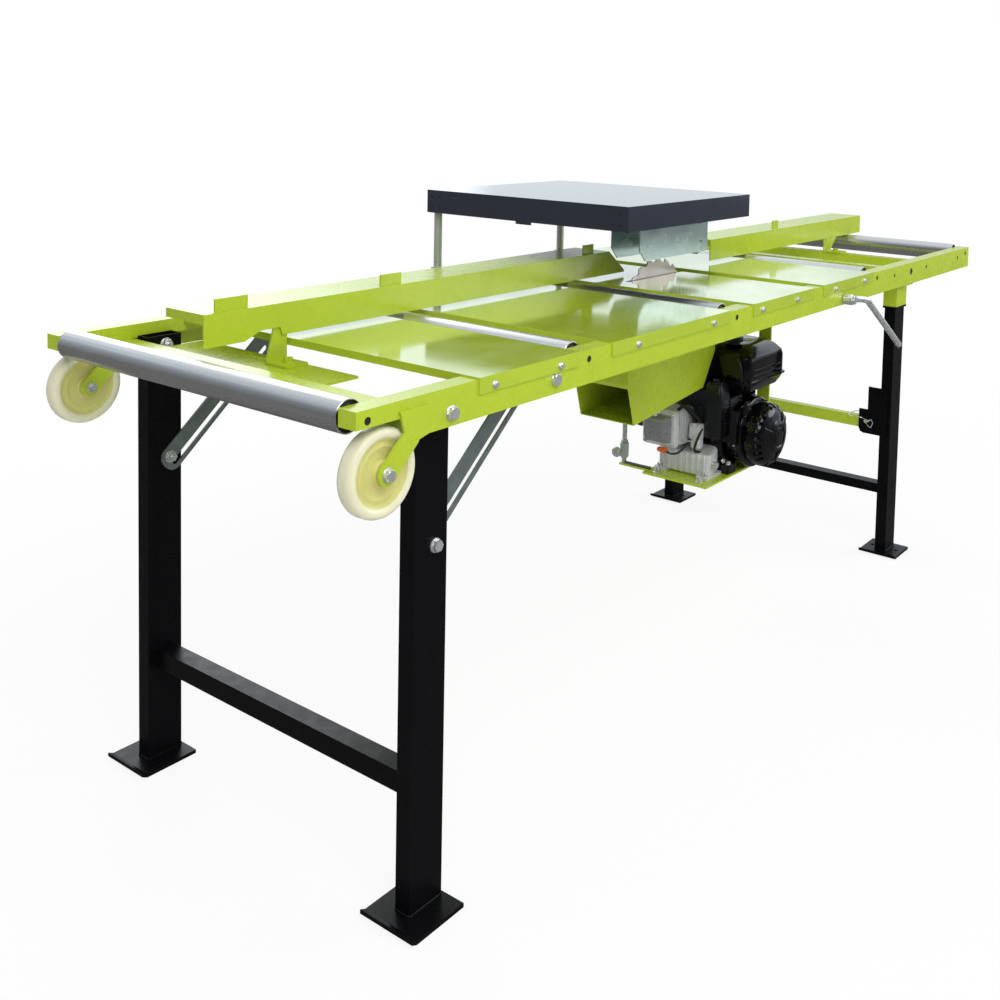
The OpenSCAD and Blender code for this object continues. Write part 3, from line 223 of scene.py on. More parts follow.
def zinc_sheet():
    """Cool plating of the guard plates"""
    return node_finish("zinc_sheet_cool", (0.46, 0.56, 0.60), 0.24, metallic=0.7, grain=300.0, relief=0.008,
                       mottle=0.04, mottle_scale=9.0)


def post_zinc():
    """Plating of the guard's posts"""
    return node_finish("zinc_posts", (0.60, 0.64, 0.60), 0.30, metallic=0.6, grain=300.0, relief=0.02)


def galvanised():
    """Dull dipped zinc of the stays"""
    return node_finish("galvanised_dull", (0.20, 0.235, 0.23), 0.42, metallic=0.55, grain=500.0, relief=0.08,
                       mottle=0.14, mottle_scale=40.0)


def roller_steel():
    """Drawn tube with streaks along its length"""
    return node_finish("roller_drawn_steel", (0.56, 0.56, 0.55), 0.28, metallic=0.92, grain=420.0,
                       relief=0.04, mottle=0.10, mottle_scale=30.0, stretch=(1.0, 0.04, 1.0),
                       rough_swing=0.09)


def blade_steel():
    """Ground face of the saw blade"""
    return node_finish("blade_ground_steel", (0.47, 0.42, 0.41), 0.30, metallic=0.7, grain=800.0, relief=0.06,
                       mottle=0.12, mottle_scale=22.0, stretch=(1.0, 1.0, 0.12))


def dark_steel():
    """Bare shafts and flanges"""
    return node_finish("shaft_steel", (0.30, 0.31, 0.32), 0.34, metallic=1.0, mottle=0.1, mottle_scale=40.0)


def nylon(name, colour, roughness, mottle, weight, radius, scale):
    """Nylon that lets a little light through"""
    mat = node_finish(name, colour, roughness, grain=300.0, mottle=mottle)
    dial(mat.node_tree.nodes["Principled BSDF"], Subsurface_Weight=weight, Subsurface_Radius=radius,
         Subsurface_Scale=scale)
    return mat


def nylon_rim():
    """Cream tread of the caster wheels"""
    return nylon("nylon_rim_cream", (0.75, 0.73, 0.52), 0.36, 0.03, 0.35, (0.9, 0.85, 0.5), 0.012)


def nylon_core():
    """Yellow core of the caster wheels"""
    return nylon("nylon_core_yellow", (0.63, 0.60, 0.20), 0.38, 0.05, 0.3, (0.9, 0.8, 0.2), 0.01)


def seal_screw_and_shade_black():
    """Roller seals, the hood's screws and the black discs of painted shade in the rails' holes"""
    return node_finish("seal_screw_and_shade_black", (0.012, 0.012, 0.013), 0.55, mottle=0.2)


def bearing_pale():
    """Pale shields in the roller ends"""
    return node_finish("bearing_pale", (0.62, 0.63, 0.56), 0.4)


def belt_rubber():
    """Rough rubber of the drive belt"""
    return node_finish("belt_rubber", (0.018, 0.017, 0.016), 0.75, grain=1600.0, relief=0.3, mottle=0.2)


def cast_dark():
    """Painted castings"""
    return node_finish("cast_iron_painted", (0.045, 0.05, 0.055), 0.5, grain=420.0, relief=0.25, mottle=0.15)


def alloy_cast():
    """Blasted alloy of the barrel, the sump and the carburettor"""
    return node_finish("alloy_blasted", (0.74, 0.75, 0.76), 0.36, metallic=0.35, grain=1100.0, relief=0.18,
                       mottle=0.06, mottle_scale=40.0)


def alloy_dark():
    """Smooth bulge of the valve cover"""
    return node_finish("alloy_bulge_dark", (0.30, 0.31, 0.32), 0.30, metallic=0.5, grain=500.0, relief=0.02,
                       mottle_scale=20.0)


def enamel_black():
    """Gloss enamel of the engine"""
    return node_finish("engine_enamel_black", (0.003, 0.003, 0.004), 0.09, coat=0.15, grain=200.0,
                       relief=0.02, mottle=0.2, specular=0.4, rough_swing=0.04)


def plastic_black():
    """Textured plastic of the filter box and the fuel cap"""
    return node_finish("engine_plastic_black", (0.005, 0.006, 0.008), 0.32, relief=0.06, mottle=0.12)


def plug_orange():
    """Cap of the spark plug"""
    return node_finish("plug_cap_orange", (0.62, 0.13, 0.02), 0.4, mottle=0.1)


def hose_black():
    """Hoses and the plug lead"""
    return node_finish("hose_black", (0.012, 0.012, 0.012), 0.38, mottle=0.2)


# Shapes

def turned(centre, axis, along, u, v, out=1):
    """A point along the axis from centre and u, v across it; out is -1 where the piece faces back."""
    cx, cy, cz = centre
    if axis == "y":
        return cx + u, cy + along * out, cz - v * out
    if axis == "z":
        return cx + u, cy + v * out, cz + along * out
    return cx + along * out, cy + u, cz + v * out


def ring(centre, axis, along, radius, steps, out=1, lobes=0, depth=0.0):
    """Points round the axis, with a wavy radius where lobes and depth are given."""
    points = []
    for k in range(steps):
        a = 2 * math.pi * k / steps
        r = radius + depth * math.cos(lobes * a)
        points.append(turned(centre, axis, along, r * math.cos(a), r * math.sin(a), out))
    return points


def round_section(place, ahead, side, radius, steps):
    """Points of a round section across the direction ahead, starting at side."""
    other = ahead.cross(side)
    return [tuple(place + (side * math.cos(t) + other * math.sin(t)) * radius)
            for t in (2 * math.pi * k / steps for k in range(steps))]


def rounded(x0, z0, x1, z1, r, steps):
    """Outline of a rectangle with round corners."""
    pts = []
    for cx, cz, start in ((x1 - r, z0 + r, -90), (x1 - r, z1 - r, 0), (x0 + r, z1 - r, 90),
                          (x0 + r, z0 + r, 180)):
        for k in range(steps + 1):
            a = math.radians(start + 90 * k / steps)
            pts.append((cx + r * math.cos(a), cz + r * math.sin(a)))
    return pts


def inset(sides, by):
    """A rectangle's sides moved in by an equal distance."""
    x0, y0, x1, y1 = sides
    return x0 + by, y0 + by, x1 - by, y1 - by


def smooth_line(points, turns):
    """Points along a curve that passes through each given point."""
    pts = [Vector(p) for p in points]
    line = []
    for i in range(len(pts) - 1):
        p0 = pts[max(i - 1, 0)]
        p1, p2 = pts[i], pts[i + 1]
        p3 = pts[min(i + 2, len(pts) - 1)]
        for k in range(turns):
            t = k / turns
            line.append(0.5 * ((2 * p1) + (p2 - p0) * t + (2 * p0 - 5 * p1 + 4 * p2 - p3) * t * t
                               + (3 * p1 - 3 * p2 + p3 - p0) * t * t * t))
    line.append(pts[-1])
    return line


def ease_edges(obj, width):
    """Small rounded edges that catch the light."""
    mod = obj.modifiers.new("eased_edges", "BEVEL")
    mod.width = width * MM
    mod.segments = 2
    mod.limit_method = "ANGLE"
    mod.angle_limit = math.radians(35.0)
    mod.harden_normals = False
    mod.use_clamp_overlap = True


class Shape:
    """Faces in table millimetres, each with a finish, that become one piece."""

    def __init__(self, *finishes):
        self.bm = bmesh.new()
        self.finishes = finishes

    def face(self, verts, finish=0):
        """A smooth face with one of the shape's finishes."""
        f = self.bm.faces.new(verts)
        f.material_index = finish
        f.smooth = True

    def rings(self, rings, finish=0, loop=False):
        """Joins rings in order; finish is one index or one a step, and loop joins the last to the first."""
        made = [[self.bm.verts.new(p) for p in points] for points in rings]
        pairs = list(zip(made, made[1:]))
        if loop:
            pairs.append((made[-1], made[0]))
        marks = finish if isinstance(finish, (list, tuple)) else [finish] * len(pairs)
        for (a, b), mark in zip(pairs, marks):
            for k in range(len(a)):
                m = (k + 1) % len(a)
                self.face((a[k], a[m], b[m], b[k]), mark)
        if not loop:
            self.face(list(reversed(made[0])), marks[0])
            self.face(made[-1], marks[-1])

    def lathe(self, profile, centre, axis="y", steps=64, finish=0, loop=False):
        """Turns (along, radius) points round an axis through centre."""
        self.rings([ring(centre, axis, along, r, steps) for along, r in profile], finish, loop)

    def block(self, lo, hi):
        """A plain box between two corners."""
        corners = ((lo[0], lo[1]), (hi[0], lo[1]), (hi[0], hi[1]), (lo[0], hi[1]))
        self.rings([[(x, y, z) for x, y in corners] for z in (lo[2], hi[2])])

    def stack(self, levels, axis="z", finish=0, steps=6):
        """Rounded rectangles joined along the axis; a level is (low, low, high, high, corner, place)."""
        rings = []
        for *sides, corner, place in levels:
            outline = rounded(*sides, corner, steps)
            rings.append([(a, b, place) if axis == "z" else (place, a, b) for a, b in outline])
        self.rings(rings, finish)

    def pad(self, sides, corner, places, axis="z", steps=6):
        """A straight block with round corners between two places on the axis."""
        self.stack([(*sides, corner, place) for place in places], axis, steps=steps)

    def tube(self, points, r, steps=12, finish=0, turns=4):
        """A round hose or wire along a smooth line through the points."""
        line = smooth_line(points, turns)
        rings = []
        side = None
        for i, p in enumerate(line):
            ahead = (line[min(i + 1, len(line) - 1)] - line[max(i - 1, 0)]).normalized()
            if side is None:
                side = ahead.orthogonal().normalized()
            side = (side - ahead * side.dot(ahead)).normalized()
            rings.append(round_section(p, ahead, side, r, steps))
        self.rings(rings, finish)

    def bead(self, a, b, r=3.0, pitch=5.0):
        """A straight weld bead of overlapping ripples."""
        a, b = Vector(a), Vector(b)
        n = 2 * max(2, int((b - a).length / pitch))
        ahead = (b - a).normalized()
        side = ahead.orthogonal().normalized()
        swell = [0.45] + [1.0 if i % 2 else 0.8 for i in range(1, n)] + [0.45]
        self.rings([round_section(a.lerp(b, i / n), ahead, side, r * s, 10) for i, s in enumerate(swell)])

    def nut(self, centre, out, across, height, axis="y", finish=0):
        """Hexagon with a turned chamfer on its outer side."""
        steps = 48
        flat = across / 2
        rings = []
        for h, squash in ((0.0, 0.0), (height * 0.78, 0.0), (height * 0.94, 0.75), (height, 1.0)):
            points = []
            for k in range(steps):
                a = 2 * math.pi * k / steps
                hexagon = flat / math.cos((a % (math.pi / 3)) - math.pi / 6)
                r = hexagon + (flat * 0.96 - hexagon) * squash
                points.append(turned(centre, axis, h, r * math.cos(a), r * math.sin(a), out))
            rings.append(points)
        self.rings(rings, finish)

    def disc(self, centre, out, r, height, axis="y", finish=0):
        """Washer with an eased outer edge."""
        edge, steps = 0.6, 40
        levels = ((0.0, r), (height - edge, r), (height, r - edge))
        self.rings([ring(centre, axis, h, radius, steps, out) for h, radius in levels], finish)

    def bolt(self, centre, out, across, height, axis="y", washer=0.0, finish=0):
        """Hexagon head seated at centre and facing along the axis by out, on a washer if one is given."""
        seat = list(centre)
        if washer:
            lift = 2.0
            self.disc(centre, out, washer, lift, axis, finish)
            seat["xyz".index(axis)] += out * lift
        self.nut(seat, out, across, height, axis, finish)

    def slotted_dish(self, profile, centre, thick, steps, cut):
        """A turned shell round Y with wall thick; cut(i, k) says which cells of it are open."""
        n = len(profile) - 1

        def wall(along, radius):
            return [self.bm.verts.new(p) for p in ring(centre, "y", along, radius, steps)]

        outer = [wall(a, r) for a, r in profile]
        inner = [wall(a + thick, max(r - thick * 0.5, 1.0)) for a, r in profile]
        for i in range(n):
            for k in range(steps):
                if cut(i, k):
                    continue
                m = (k + 1) % steps
                self.face((outer[i][k], outer[i][m], outer[i + 1][m], outer[i + 1][k]))
                self.face((inner[i][m], inner[i][k], inner[i + 1][k], inner[i + 1][m]))
                sides = (((i, k), (i, m), i > 0 and cut(i - 1, k)),
                         ((i + 1, m), (i + 1, k), i < n - 1 and cut(i + 1, k)),
                         ((i, m), (i + 1, m), cut(i, m)),
                         ((i + 1, k), (i, k), cut(i, (k - 1) % steps)))
                for (ai, ak), (bi, bk), open_side in sides:
                    if open_side:
                        self.face((outer[bi][bk], outer[ai][ak], inner[ai][ak], inner[bi][bk]))
        for k in range(steps):
            m = (k + 1) % steps
            self.face((outer[0][m], outer[0][k], inner[0][k], inner[0][m]))
            self.face((outer[n][k], outer[n][m], inner[n][m], inner[n][k]))

    def piece(self, name, body, bevel=0.0, replaces=(), crease=32.0):
        """Makes the object, with edges past the crease angle kept sharp."""
        bmesh.ops.recalc_face_normals(self.bm, faces=self.bm.faces)
        bmesh.ops.scale(self.bm, vec=(MM, MM, MM), verts=self.bm.verts)
        bmesh.ops.translate(self.bm, vec=at(0, 0, 0), verts=self.bm.verts)
        for edge in self.bm.edges:
            if len(edge.link_faces) == 2 and edge.calc_face_angle(0.0) > math.radians(crease):
                edge.smooth = False
        mesh = bpy.data.meshes.new(name)
        self.bm.to_mesh(mesh)
        self.bm.free()
        for finish in self.finishes:
            mesh.materials.append(finish)
        obj = bpy.data.objects.new(name, mesh)
        bpy.context.scene.collection.objects.link(obj)
        if bevel:
            ease_edges(obj, bevel)
        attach(obj, body)
        if replaces:
            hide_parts(*replaces)


# Settings

def coat_colour(name, description, default):
    """A colour that the panel shows"""
    return FloatVectorProperty(name=name, description=description, subtype="COLOR", size=3, min=0.0, max=1.0,
                               default=default)


class EDGER_PaintSettings(bpy.types.PropertyGroup):
    """Colours of the coats and the rounding of folded edges"""
    green: coat_colour("Green", "Powder coat of the frame", (0.43, 0.545, 0.026))
    plate: coat_colour("Plate green", "Glossier coat of the table plates", (0.42, 0.54, 0.034))
    black: coat_colour("Black", "Powder coat of the legs", (0.0035, 0.0035, 0.0045))
    # The hood's colour is black enamel with a painted blue reflection mixed in as a blue tint
    hood: coat_colour("Hood", "Blue black enamel of the guard hood", (0.012, 0.017, 0.036))
    edge: FloatProperty(name="Edge rounding", description="Rounding of the folded sheet's edges",
                        unit="LENGTH", min=0.2 * MM, max=1.4 * MM, default=0.7 * MM)


class EDGER_FastenerSettings(bpy.types.PropertyGroup):
    """Size of the bolts along the rails"""
    plate_across: FloatProperty(name="Plate bolt head", description="Across flats", unit="LENGTH",
                                min=8.0 * MM, max=13.0 * MM, default=10.0 * MM)
    washers: BoolProperty(name="Washers", description="Put a washer under each plate bolt", default=True)


class EDGER_StageSettings(bpy.types.PropertyGroup):
    """Strength of the lamps, the sky and the floor"""
    key: FloatProperty(name="Key light", description="Power of the large soft lamp", unit="POWER", min=0.0,
                       max=800.0, default=85.0)
    fill: FloatProperty(name="Fill light", description="Power of the lamps on the other sides", unit="POWER",
                        min=0.0, max=800.0, default=45.0)
    sky: FloatProperty(name="Sky", description="Strength of the light from all round", min=0.0, max=2.0,
                       default=0.62)
    floor: FloatProperty(name="Floor", description="Brightness of the floor", subtype="FACTOR", min=0.5,
                         max=1.0, default=0.9)


# Operators

class EDGER_OT_stage(bpy.types.Operator):
    """Set the camera, the soft lamps and the pale floor"""
    bl_idname = "edger.stage"
    bl_label = "Stage"

    def execute(self, context):
        scene = context.scene
        light = scene.edger_stage
        scene.view_settings.view_transform = "Standard"
        place_camera(scene)
        make_sky(scene, light.sky)
        make_floor(light.floor)
        area_lamp("key_lamp", (-2.2, -2.6, 3.4), (0.0, 0.0, 0.7), 3.0, light.key)
        area_lamp("fill_lamp", (2.8, -2.6, 2.4), (0.2, 0.0, 0.7), 2.4, light.fill)
        area_lamp("back_lamp", (0.6, 3.2, 2.8), (0.0, 0.0, 0.8), 2.6, light.fill)
        return {"FINISHED"}


def place_camera(scene):
    """Stands the camera where the photograph was taken."""
    yaw, pitch, roll = (math.radians(a) for a in CAMERA_TURN)
    forward = Vector((math.cos(yaw) * math.cos(pitch), math.sin(yaw) * math.cos(pitch), math.sin(pitch)))
    level = Vector((math.sin(yaw), -math.cos(yaw), 0.0))
    up = level.cross(forward)
    right = level * math.cos(roll) + up * math.sin(roll)
    top = up * math.cos(roll) - level * math.sin(roll)
    data = bpy.data.cameras.new("camera")
    data.sensor_width = SENSOR_WIDTH
    data.sensor_fit = "HORIZONTAL"
    data.lens = FOCAL_PIXELS / PICTURE_PIXELS * SENSOR_WIDTH
    data.shift_x, data.shift_y = LENS_SHIFT
    cam = bpy.data.objects.new("camera", data)
    turn = Matrix((right, top, -forward)).transposed().to_4x4()
    cam.matrix_world = Matrix.Translation(at(*CAMERA_PLACE)) @ turn
    scene.collection.objects.link(cam)
    scene.camera = cam


def make_sky(scene, strength):
    """An even pale sky, white to the camera, with a workshop's light and dark sides in the gloss."""
    world = bpy.data.worlds.new("sky")
    scene.world = world
    world.use_nodes = True
    tree = world.node_tree
    tree.nodes.clear()
    ray = add(tree, "LightPath")
    place = add(tree, "TexCoord")

    # What shines in the gloss: bright above and behind the table, dark on the camera's side
    lean = add(tree, "VectorMath")
    lean.operation = "DOT_PRODUCT"
    lean.inputs[1].default_value = (0.70, 0.42, 0.58)
    wire(tree, place, "Generated", lean, 0)
    spread = add(tree, "MapRange", From_Min=-1.0)
    wire(tree, lean, "Value", spread, "Value")
    shine = add(tree, "ValToRGB")
    set_stops(shine, ((0.30, (0.05, 0.05, 0.06)), (0.52, (0.22, 0.24, 0.27)), (0.66, (0.55, 0.62, 0.72)),
                      (0.80, (0.86, 0.93, 1.0)), (1.0, (0.88, 0.96, 1.0))))
    wire(tree, spread, "Result", shine, "Fac")

    # Uneven roof and windows in the gloss
    roof = noise(tree, place, "Generated", 5.0, 2.0)
    bays = add(tree, "MapRange", From_Min=0.42, From_Max=0.56, To_Min=0.85, To_Max=1.45)
    wire(tree, roof, "Fac", bays, "Value")
    glow = add(tree, "Background")
    wire(tree, shine, "Color", glow, "Color")
    wire(tree, bays, "Result", glow, "Strength")

    plain = add(tree, "Background", Color=(0.95, 0.97, 1.0, 1.0), Strength=strength)
    gloss = mix_shaders(tree, ray, "Is Glossy Ray", plain, glow)
    white = add(tree, "Background", Color=WHITE)
    seen = add(tree, "Math")
    seen.operation = "MAXIMUM"
    wire(tree, ray, "Is Camera Ray", seen, 0)
    wire(tree, ray, "Is Transmission Ray", seen, 1)
    shown = mix_shaders(tree, seen, 0, gloss, white)
    wire(tree, shown, 0, add(tree, "OutputWorld"), "Surface")


def mix_shaders(tree, source, output, first, second):
    """Mixes two shaders by the given output."""
    mix = add(tree, "MixShader")
    wire(tree, source, output, mix, "Fac")
    wire(tree, first, 0, mix, 1)
    wire(tree, second, 0, mix, 2)
    return mix


def make_floor(brightness):
    """A wide pale floor, dimmer in reflections, with a soft contact shadow under the table."""
    half, drop = 14.0, -0.0005
    mesh = bpy.data.meshes.new("floor")
    mesh.from_pydata([(x, y, drop) for x, y in ((-half, -half), (half, -half), (half, half), (-half, half))],
                     [], [(0, 1, 2, 3)])
    floor = bpy.data.objects.new("floor", mesh)
    bpy.context.scene.collection.objects.link(floor)
    mat = bpy.data.materials.new("floor_pale")
    mat.use_nodes = True
    tree = mat.node_tree
    shader = tree.nodes["Principled BSDF"]
    dial(shader, Base_Color=(brightness, brightness, brightness, 1.0), Roughness=0.9, Specular_IOR_Level=0.0)
    ray = add(tree, "LightPath")

    # White to the camera away from the table
    flat = add(tree, "VectorMath")
    flat.operation = "LENGTH"
    wire(tree, add(tree, "TexCoord"), "Object", flat, 0)
    reach = add(tree, "MapRange")
    reach.interpolation_type = "SMOOTHSTEP"
    dial(reach, From_Min=1.0, From_Max=3.4, To_Min=0.86, To_Max=1.0)
    wire(tree, flat, "Value", reach, "Value")
    share = add(tree, "Math")
    share.operation = "MULTIPLY"
    wire(tree, ray, "Is Camera Ray", share, 0)
    wire(tree, reach, "Result", share, 1)
    seen = add(tree, "Math")
    seen.operation = "MAXIMUM"
    wire(tree, share, 0, seen, 0)
    wire(tree, ray, "Is Glossy Ray", seen, 1)

    # Dimmer in reflections, as a workshop floor is
    level = add(tree, "MapRange", To_Min=0.16, To_Max=1.0)
    wire(tree, ray, "Is Camera Ray", level, "Value")
    white = add(tree, "Emission", Color=WHITE)
    wire(tree, level, "Result", white, "Strength")
    mix = mix_shaders(tree, seen, 0, shader, white)
    wire(tree, mix, 0, tree.nodes["Material Output"], "Surface")
    mesh.materials.append(mat)


def area_lamp(name, place, look, size, power):
    """A round soft lamp at place that faces look, both in metres."""
    data = bpy.data.lights.new(name, "AREA")
    data.shape = "DISK"
    data.size = size
    data.energy = power
    lamp = bpy.data.objects.new(name, data)
    lamp.location = place
    lamp.rotation_euler = (Vector(look) - Vector(place)).to_track_quat("-Z", "Y").to_euler()
    bpy.context.scene.collection.objects.link(lamp)


class EDGER_OT_frame_finish(bpy.types.Operator):
    """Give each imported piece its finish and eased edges"""
    bl_idname = "edger.frame_finish"
    bl_label = "Frame finishes"

    def execute(self, context):
        fold = context.scene.edger_paint.edge / MM
        # A finish, the rounding of the edges in millimetres and the pieces that have both
        dress = (
            (powder_green(), fold, "near_rail far_rail front_cross_tube cross_members caster_forks chute"),
            (powder_green(), fold, "front_fence rear_fence engine_platform rear_leg_sockets tie_bar"),
            (powder_green(), fold, "arbor_beam"),
            (plate_green(), fold, "table_plate_1 table_plate_2 table_plate_3 table_plate_4"),
            (powder_black(), 2.0, "near_front_leg far_front_leg near_rear_leg far_rear_leg"),
            (powder_black(), 1.6, "front_leg_brace rear_leg_brace"),
            (powder_black(), 0.8, "idler_arm"),
            (galvanised(), 0.7, "near_stay far_stay"),
            (hood_black(), 1.4, "hood"),
            (post_zinc(), 0.8, "hood_posts post_sockets"),
            (zinc_sheet(), 0.5, "guard_plates"),
            (zinc_sheet(), 0.4, "kickback_fingers"),
            (blade_steel(), 0.3, "saw_blade"),
            (dark_steel(), 0.8, "blade_flanges arbor_shaft"),
            (dark_steel(), 0.6, "crankshaft"),
            (cast_dark(), 1.0, "arbor_housing"),
            (cast_dark(), 0.6, "arbor_pulley"),
            (cast_dark(), 0.8, "idler_pulley"),
            (belt_rubber(), 0.4, "drive_belt"),
            (zinc_bright(), 0.8, "tension_lever"),
            (zinc_bright(), 0.5, "plate_screws"),
            (zinc_bright(), 0.6, "roller_axles pivot_bolts stay_bolts stay_nuts socket_clamp_bolts"),
            (roller_steel(), 0.8, "front_roller roller_1 roller_2 roller_3 rear_roller"),
            (nylon_rim(), 0.8, "near_caster_wheel far_caster_wheel"),
            (enamel_black(), 1.6, "engine_block"),
            (enamel_black(), 1.0, "recoil_cover"),
            (enamel_black(), 4.0, "fuel_tank"),
            (alloy_cast(), 0.6, "cylinder_head"),
            (alloy_cast(), 1.6, "valve_cover"),
            (plastic_black(), 4.0, "air_filter_box"),
            (plastic_black(), 1.6, "fuel_cap"),
            (cast_dark(), 3.0, "muffler"),
        )
        for finish, width, names in dress:
            for name in names.split():
                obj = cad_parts[name]
                obj.data.materials.clear()
                obj.data.materials.append(finish)
                ease_edges(obj, width)
        return {"FINISHED"}


class EDGER_OT_rollers(bpy.types.Operator):
    """Build the steel rollers with their seals and bearings"""
    bl_idname = "edger.rollers"
    bl_label = "Rollers"

    def execute(self, context):
        tube, seal, bearing, bore = range(4)
        # From the axle bore over the bearing and the seal, up to the tube's rolled lip and its outside
        end = [(5.5, 6.1), (1.2, 6.1), (1.2, 10.0), (2.2, 10.4), (2.2, 17.5), (1.6, 18.0), (1.6, 20.0),
               (3.4, 20.4), (3.4, 25.6)]
        lip = [(0.9, 26.2), (0.0, 27.0), (0.0, 28.0), (1.2, 29.0)]
        marks = [bore] * 3 + [bearing] * 2 + [bore] * 2 + [seal] * 2 + [tube] * 3
        for name in ("front_roller", "roller_1", "roller_2", "roller_3", "rear_roller"):
            (_, start, _), (_, end_face, _) = table_box(name)
            length = end_face - start
            x, _, z = middle(name)
            shape = Shape(roller_steel(), seal_screw_and_shade_black(), bearing_pale(), dark_steel())
            profile = end + lip + [(length - along, r) for along, r in reversed(end + lip)]
            shape.lathe(profile, (x, start, z), steps=72, finish=marks + [tube] + marks[::-1] + [bore],
                        loop=True)
            shape.piece(name + "_tube", name + "_body", replaces=(name,))
        return {"FINISHED"}


class EDGER_OT_casters(bpy.types.Operator):
    """Build the nylon caster wheels"""
    bl_idname = "edger.casters"
    bl_label = "Caster wheels"

    def execute(self, context):
        tread, core, bush = range(3)
        half = [(18.6, 6.1), (18.6, 9.5), (18.2, 10.0), (17.0, 16.0), (16.4, 20.5), (11.0, 23.0), (9.6, 27.0),
                (9.4, 40.0), (10.6, 42.0), (10.6, 45.0), (9.4, 47.0), (9.8, 52.0), (13.0, 57.0), (15.4, 60.0),
                (16.9, 64.0), (16.3, 68.6), (13.6, 72.4), (9.0, 74.4), (4.5, 75.0)]
        profile = [(-along, r) for along, r in half] + half[::-1]
        marks = [bush] * 2 + [core] * 10 + [tread] * 6
        for side in ("near", "far"):
            name = side + "_caster_wheel"
            shape = Shape(nylon_rim(), nylon_core(), zinc_bright())
            shape.lathe(profile, middle(name), steps=96, finish=marks + [tread] + marks[::-1] + [bush],
                        loop=True)
            shape.piece(name + "_tyre", side + "_caster", replaces=(name,), crease=40.0)
        return {"FINISHED"}


class EDGER_OT_fasteners(bpy.types.Operator):
    """Build the bolts, nuts and washers along the rails and legs"""
    bl_idname = "edger.fasteners"
    bl_label = "Fasteners"

    def execute(self, context):
        settings = context.scene.edger_fasteners
        for name, side, out in (("near", 0.0, -1), ("far", TABLE_WIDTH, 1)):
            self.plate_bolts(name, side + out * PLATE_SHEET, out, settings)
            self.pivots(name, side, out)
            leg_middle = table_box("rear_leg_brace")[0][1] - LEG_DEPTH / 2
            self.clamp_bolt(name, side - out * leg_middle)
        return {"FINISHED"}

    def plate_bolts(self, name, seat, out, settings):
        """Hexagon heads along one rail, each on a flat and a spring washer"""
        flat_washer, spring_washer = (8.0, 1.4), (6.2, 0.9)
        head_lift, head_height = 2.2, 3.6
        z = PLATE_BOLT_HEIGHT
        shape = Shape(zinc_bright())
        for x in PLATE_BOLTS:
            if settings.washers:
                shape.disc((x, seat, z), out, *flat_washer)
                shape.disc((x, seat + out * flat_washer[1], z), out, *spring_washer)
            shape.nut((x, seat + out * head_lift, z), out, settings.plate_across / MM, head_height)
        shape.piece("plate_bolts_" + name, "frame", replaces=("plate_screws",))

    def pivots(self, name, side, out):
        """Axle, leg pivot and stay pivot of one side, with their inner nuts"""
        shape = Shape(zinc_bright())
        # Pivot, depths of the head's seat, the bar's end and the nut's seat, radius of the bar, then across
        # flats and height of the head and of the nut, and the radii of their washers
        for (x, z), depths, bar, head, nut, washers in (
                (WHEEL_AXLE, (-5.0, 57.0, 45.0), 6.0, (19.0, 8.0), (19.0, 9.0), (12.5, 0.0)),
                (LEG_PIVOT, (0.0, 92.0, 75.6), 6.9, (22.0, 8.0), (22.0, 9.0), (14.0, 14.0)),
                (STAY_PIVOT, (0.0, 90.0, 79.9), 6.9, (22.0, 6.5), (19.0, 8.0), (12.0, 0.0))):
            seat, end, nut_seat = depths
            length = end - seat
            start = min(side - out * seat, side - out * end)
            shape.bolt((x, side - out * seat, z), out, *head, washer=washers[0])
            shape.lathe([(0.0, bar - 0.6), (0.6, bar), (length - 0.6, bar), (length, bar - 0.6)],
                        (x, start, z), steps=32)
            shape.bolt((x, side - out * nut_seat, z), -out, *nut, washer=washers[1])
        shape.piece("pivot_bolts_" + name, "frame", replaces=("pivot_bolts",))

    def clamp_bolt(self, name, y):
        """Nut, thread and round knob of one rear socket's clamp bolt"""
        x, z = table_box("rear_leg_sockets")[1][0], middle("socket_clamp_bolts")[2]
        shape = Shape(zinc_bright())
        shape.bolt((x, y, z), 1, 19.0, 9.0, axis="x")
        thread = [(0.0, 5.9), (12.4, 5.9), (13.0, 5.4)]
        knob = [(0.0, 9.4), (0.8, 10.8), (9.0, 10.8), (9.8, 9.4)]
        for profile, start in ((thread, 9.0), (knob, 14.0)):
            shape.lathe(profile, (x + start, y, z), axis="x", steps=32)
        shape.piece("clamp_bolt_" + name, "clamp_bolts", replaces=("socket_clamp_bolts",))


